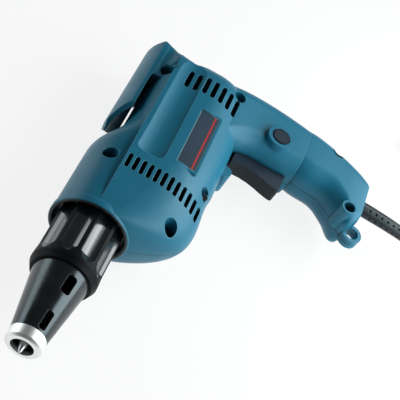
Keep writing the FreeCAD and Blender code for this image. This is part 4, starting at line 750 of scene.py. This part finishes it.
def guard_radius_at(far, turn, total):
    """Taper from the housing to the cord, with staggered rows of round dimples and a rounded end."""
    taper = clamped((far - DIMPLE_START) / (total - DIMPLE_START))
    radius = GUARD_RADIUS + (GUARD_END_RADIUS - GUARD_RADIUS) * taper
    if total - far < GUARD_LIP:
        radius -= (GUARD_END_RADIUS - CORD_RADIUS) * (1 - (total - far) / GUARD_LIP) ** 2
    if far < DIMPLE_START - DIMPLE_RADIUS or far > total - DIMPLE_STEP:
        return radius
    row = round(turn * DIMPLE_ROWS / (2 * math.pi))
    aside = (turn - row * 2 * math.pi / DIMPLE_ROWS) * radius
    half_step = DIMPLE_STEP / 2
    ahead = (far - DIMPLE_START + half_step * (row % 2) + half_step) % DIMPLE_STEP - half_step
    off = math.hypot(aside, ahead) / DIMPLE_RADIUS
    return radius - DIMPLE_DEPTH * clamped((1 - off) * DIMPLE_STEEPNESS)


guard_line = points_along("guard_line", GUARD_ROUTE)
guard_mesh = swept("guard_boot", guard_line, GUARD_RINGS, GUARD_SIDES, guard_radius_at)
guard = piece_of("guard_boot", guard_mesh, "housing", "rubber")
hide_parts("cord_guard")

# Black rubber ring in the housing's mouth, rolled in towards the sleeve: its roll stands for the housing's
# rolled rim, and its black is painted shade where the mouth lies in shadow. Distance along X and radius in
# mm.
SHADE_RING_PROFILE = [
    (96.0, 26.4), (95.3, 26.95), (94.9, 26.6), (94.65, 26.0), (94.75, 25.3), (95.3, 24.6),
    (96.4, 24.0), (98.0, 23.6), (99.6, 23.4), (99.6, 25.4), (96.0, 25.4),
]
SHADE_RING_STEPS = 96


def turned_ring(name, profile, steps):
    """A ring turned about the X axis from a closed profile in mm."""
    made = bmesh.new()
    loops = []
    for k in range(steps):
        turn = 2 * math.pi * k / steps
        loops.append([
            made.verts.new(Vector((x, radius * math.cos(turn), radius * math.sin(turn))) * MM)
            for x, radius in profile
        ])
    skin(made, loops + loops[:1], True)
    return smooth_mesh(name, made)


piece_of("mouth_shade_ring", turned_ring("mouth_shade_ring", SHADE_RING_PROFILE, SHADE_RING_STEPS), "housing", "rubber")

# Web that runs from the rear side panel down to the hook's root, in mm: each row's place along X, where it
# starts in Y and its height there. All rows fall to the same end in Y and Z.
WEB_ROWS = [
    (245.6, 3.2, 22.8), (247.4, 2.6, 25.0), (249.4, 2.2, 26.9), (252.0, 2.0, 27.3),
    (254.5, 2.0, 26.6), (256.6, 2.4, 25.8), (258.4, 3.6, 24.7), (260.2, 4.8, 23.4),
    (262.0, 6.0, 21.9), (263.4, 7.0, 20.6), (264.3, 7.6, 19.5),
]
WEB_END_Y = 12.2
WEB_END_Z = 19.5
WEB_FLOOR = 19.0
WEB_STEPS = 12
WEB_SHARP_DEGREES = 40


def web_mesh(name):
    """A closed solid whose top falls in a soft S from each row's start to the common end."""
    made = bmesh.new()
    top = []
    underside = []
    shares = [k / WEB_STEPS for k in range(WEB_STEPS + 1)]
    falls = [share * share * (3 - 2 * share) for share in shares]
    for x, start, height in WEB_ROWS:
        places = [start + (WEB_END_Y - start) * share for share in shares]
        heights = [height + (WEB_END_Z - height) * fall for fall in falls]
        top.append([made.verts.new(Vector((x, y, z)) * MM) for y, z in zip(places, heights)])
        underside.append([made.verts.new(Vector((x, y, WEB_FLOOR)) * MM) for y in places])
    skin(made, top, False)
    skin(made, underside, False)
    for end in (0, -1):
        skin(made, [top[end], underside[end]], False)
        skin(made, [[row[end] for row in top], [row[end] for row in underside]], False)
    mesh = smooth_mesh(name, made)
    mesh.set_sharp_from_angle(angle=math.radians(WEB_SHARP_DEGREES))
    return mesh


piece_of("hook_web", web_mesh("hook_web"), "housing", "housing")

# Raised bezel round the bare plate, which stands proud of the curved side below it.
BEZEL_WIDTH = 2.2 * MM
BEZEL_HEIGHT = 2.6 * MM
BEZEL_RIM = 0.35 * MM
BEZEL_CORNER = 1.5 * MM
BEZEL_INNER_SHARE = 0.3
plate_low, plate_high = corners_of("side_plate")
plate_size = plate_high - plate_low
bezel_out = (BEZEL_WIDTH - BEZEL_RIM) * 2
bezel_in = BEZEL_RIM * 2
bezel = outline_mesh("plate_bezel", [
    rounded(plate_size.x + bezel_out, plate_size.y + bezel_out, BEZEL_CORNER),
    rounded(plate_size.x + bezel_in, plate_size.y + bezel_in, BEZEL_CORNER * BEZEL_INNER_SHARE),
], BEZEL_HEIGHT, BEZEL_RIM)
bezel_place = (plate_low + plate_high) / 2
bezel_place.z = plate_high.z + BEZEL_RIM - BEZEL_HEIGHT / 2
bezel_mesh = joined("plate_bezel", [(bezel, Matrix.Translation(bezel_place))])
piece_of("plate_bezel", bezel_mesh, "housing", "housing")

# Clutch spring: a coil of round wire on the gear. The real one shortens towards its pocket in the gear as the
# spindle is pushed in; this coil is built at one length.
SPRING_WIRE = 0.9 * MM
SPRING_TURNS = 6
STEPS_PER_TURN = 24
SPRING_STEPS = SPRING_TURNS * STEPS_PER_TURN
SPRING_SIDES = 10
spring_low, spring_high = corners_of("clutch_spring")
spring_length = spring_high.x - spring_low.x
spring_radius = (spring_high.z - spring_low.z - SPRING_WIRE) / 2
spring_line = []
for k in range(SPRING_STEPS + 1):
    share = k / SPRING_STEPS
    turn = 2 * math.pi * SPRING_TURNS * share
    spring_line.append(Vector((
        spring_low.x + SPRING_WIRE / 2 + (spring_length - SPRING_WIRE) * share,
        spring_radius * math.cos(turn),
        spring_radius * math.sin(turn),
    )))


def wire_radius_at(far, turn, total):
    """The spring's wire is round and even."""
    return SPRING_WIRE / 2


spring_mesh = swept("clutch_coil", spring_line, SPRING_STEPS, SPRING_SIDES, wire_radius_at)
spring = piece_of("clutch_coil", spring_mesh, "gear", "steel")
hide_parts("clutch_spring")
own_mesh(spring)

# Cross-headed screws at the bottom of the recesses: place of the recess floor and head radius, in mm.
SCREWS = {
    "screw_roof": (141.51, 12.01, 4.59, 3.7),
    "screw_hook_root": (240.01, 6.89, 4.59, 3.7),
    "screw_rear": (251.98, -48.03, 6.12, 3.7),
    "screw_dome": (115.01, -43.99, 6.12, 3.7),
    "screw_belly": (157.07, -56.5, 13.77, 2.6),
    "screw_grip": (263.63, -134.49, 7.0, 3.7),
    "screw_toe": (216.14, -154.16, 3.09, 3.4),
}
HEAD_HEIGHT_SHARE = 0.6
HEAD_RIM = 0.5 * MM
HEAD_SIDES = 28
SEAT_SIDES = 20
SEAT_RADIUS_SHARE = 0.75
CROSS_SHARES = [(0.62, 0.14), (0.14, 0.14), (0.14, 0.62)]
SCREW_LOOK = metal("screw_black_zinc", SCREW_BLACK, rough=0.4, lines=EVEN)


def screw_mesh(name, place, radius):
    """A head with a cross cut through it, on a seat that closes the cross halfway down."""
    height = radius * HEAD_HEIGHT_SHARE
    cross = []
    for quarter in range(4):
        turn = Matrix.Rotation(math.pi / 2 * quarter, 2)
        cross.extend(turn @ Vector(shares) * radius for shares in CROSS_SHARES)
    head = outline_mesh(name, [ring_points(radius - HEAD_RIM, HEAD_SIDES), cross], height, HEAD_RIM)
    seat_outline = ring_points(radius * SEAT_RADIUS_SHARE, SEAT_SIDES)
    seat = outline_mesh(name, [seat_outline], height / 2, HEAD_RIM / 2)
    return joined(name, [
        (head, Matrix.Translation(place + Vector((0, 0, height / 2)))),
        (seat, Matrix.Translation(place + Vector((0, 0, height / 4)))),
    ])


for name, (x, y, z, radius) in SCREWS.items():
    piece_of(name, screw_mesh(name, Vector((x, y, z)) * MM, radius * MM), "housing", "steel", SCREW_LOOK)

# Stage: a white floor that keeps a soft shadow, a faint white world and three soft lamps.
FLOOR_SIZE = 12.0
FLOOR_GAP = 0.05 * MM
FLOOR_COLOUR = (0.9, 0.9, 0.9)
FLOOR_ROUGH = 0.7
FLOOR_GLOW_SHARE = 0.85
WORLD_STRENGTH = 0.1
LAMP_AIM = Vector((0.15, -0.03, 0.0))
LAMP_TINT = (0.93, 0.985, 1.0)


def floor_white(name):
    """A pale floor that the camera and reflections see mostly as plain white, so that its shade is soft."""
    material, tree, shader = new_material(name)
    shader.inputs["Base Color"].default_value = (*FLOOR_COLOUR, 1)
    shader.inputs["Roughness"].default_value = FLOOR_ROUGH
    path = add(tree, "ShaderNodeLightPath")
    seen = path.outputs["Is Camera Ray"]
    for ray in ("Is Glossy Ray", "Is Transmission Ray"):
        either = add(tree, "ShaderNodeMath", operation="MAXIMUM")
        tree.links.new(seen, either.inputs[0])
        tree.links.new(path.outputs[ray], either.inputs[1])
        seen = either.outputs[0]
    share = add(tree, "ShaderNodeMath", operation="MULTIPLY")
    share.inputs[1].default_value = FLOOR_GLOW_SHARE
    tree.links.new(seen, share.inputs[0])
    glow = add(tree, "ShaderNodeEmission", Color=(*WHITE, 1), Strength=1.0)
    both = add(tree, "ShaderNodeMixShader")
    tree.links.new(share.outputs[0], both.inputs[0])
    tree.links.new(shader.outputs[0], both.inputs[1])
    tree.links.new(glow.outputs[0], both.inputs[2])
    tree.links.new(both.outputs[0], tree.nodes["Material Output"].inputs["Surface"])
    return material


def lamp(name, place, width, height, power):
    """A soft lamp that faces the tool."""
    data = bpy.data.lights.new(name, "AREA")
    data.shape = "RECTANGLE"
    data.size = width
    data.size_y = height
    data.energy = power
    data.color = LAMP_TINT
    thing = bpy.data.objects.new(name, data)
    thing.location = place
    thing.rotation_euler = (LAMP_AIM - Vector(place)).to_track_quat("-Z", "Y").to_euler()
    thing.visible_camera = False
    bpy.context.scene.collection.objects.link(thing)


bpy.ops.mesh.primitive_plane_add(size=FLOOR_SIZE, location=(0, 0, floor_level - FLOOR_GAP))
floor = bpy.context.object
floor.name = "floor"
floor.data.materials.append(floor_white("floor_white"))

world = bpy.data.worlds.new("studio")
world.use_nodes = True
backdrop = world.node_tree.nodes["Background"]
backdrop.inputs["Color"].default_value = (*WHITE, 1)
backdrop.inputs["Strength"].default_value = WORLD_STRENGTH
bpy.context.scene.world = world

lamp("key_lamp", (0.19, -0.46, 0.26), width=0.8, height=0.42, power=4.7)
lamp("back_lamp", (0.5, -0.3, 0.36), width=0.3, height=0.3, power=0.55)
lamp("left_lamp", (0.3, 0.85, 0.2), width=0.9, height=0.42, power=3.1)
bpy.context.scene.view_settings.view_transform = "Standard"
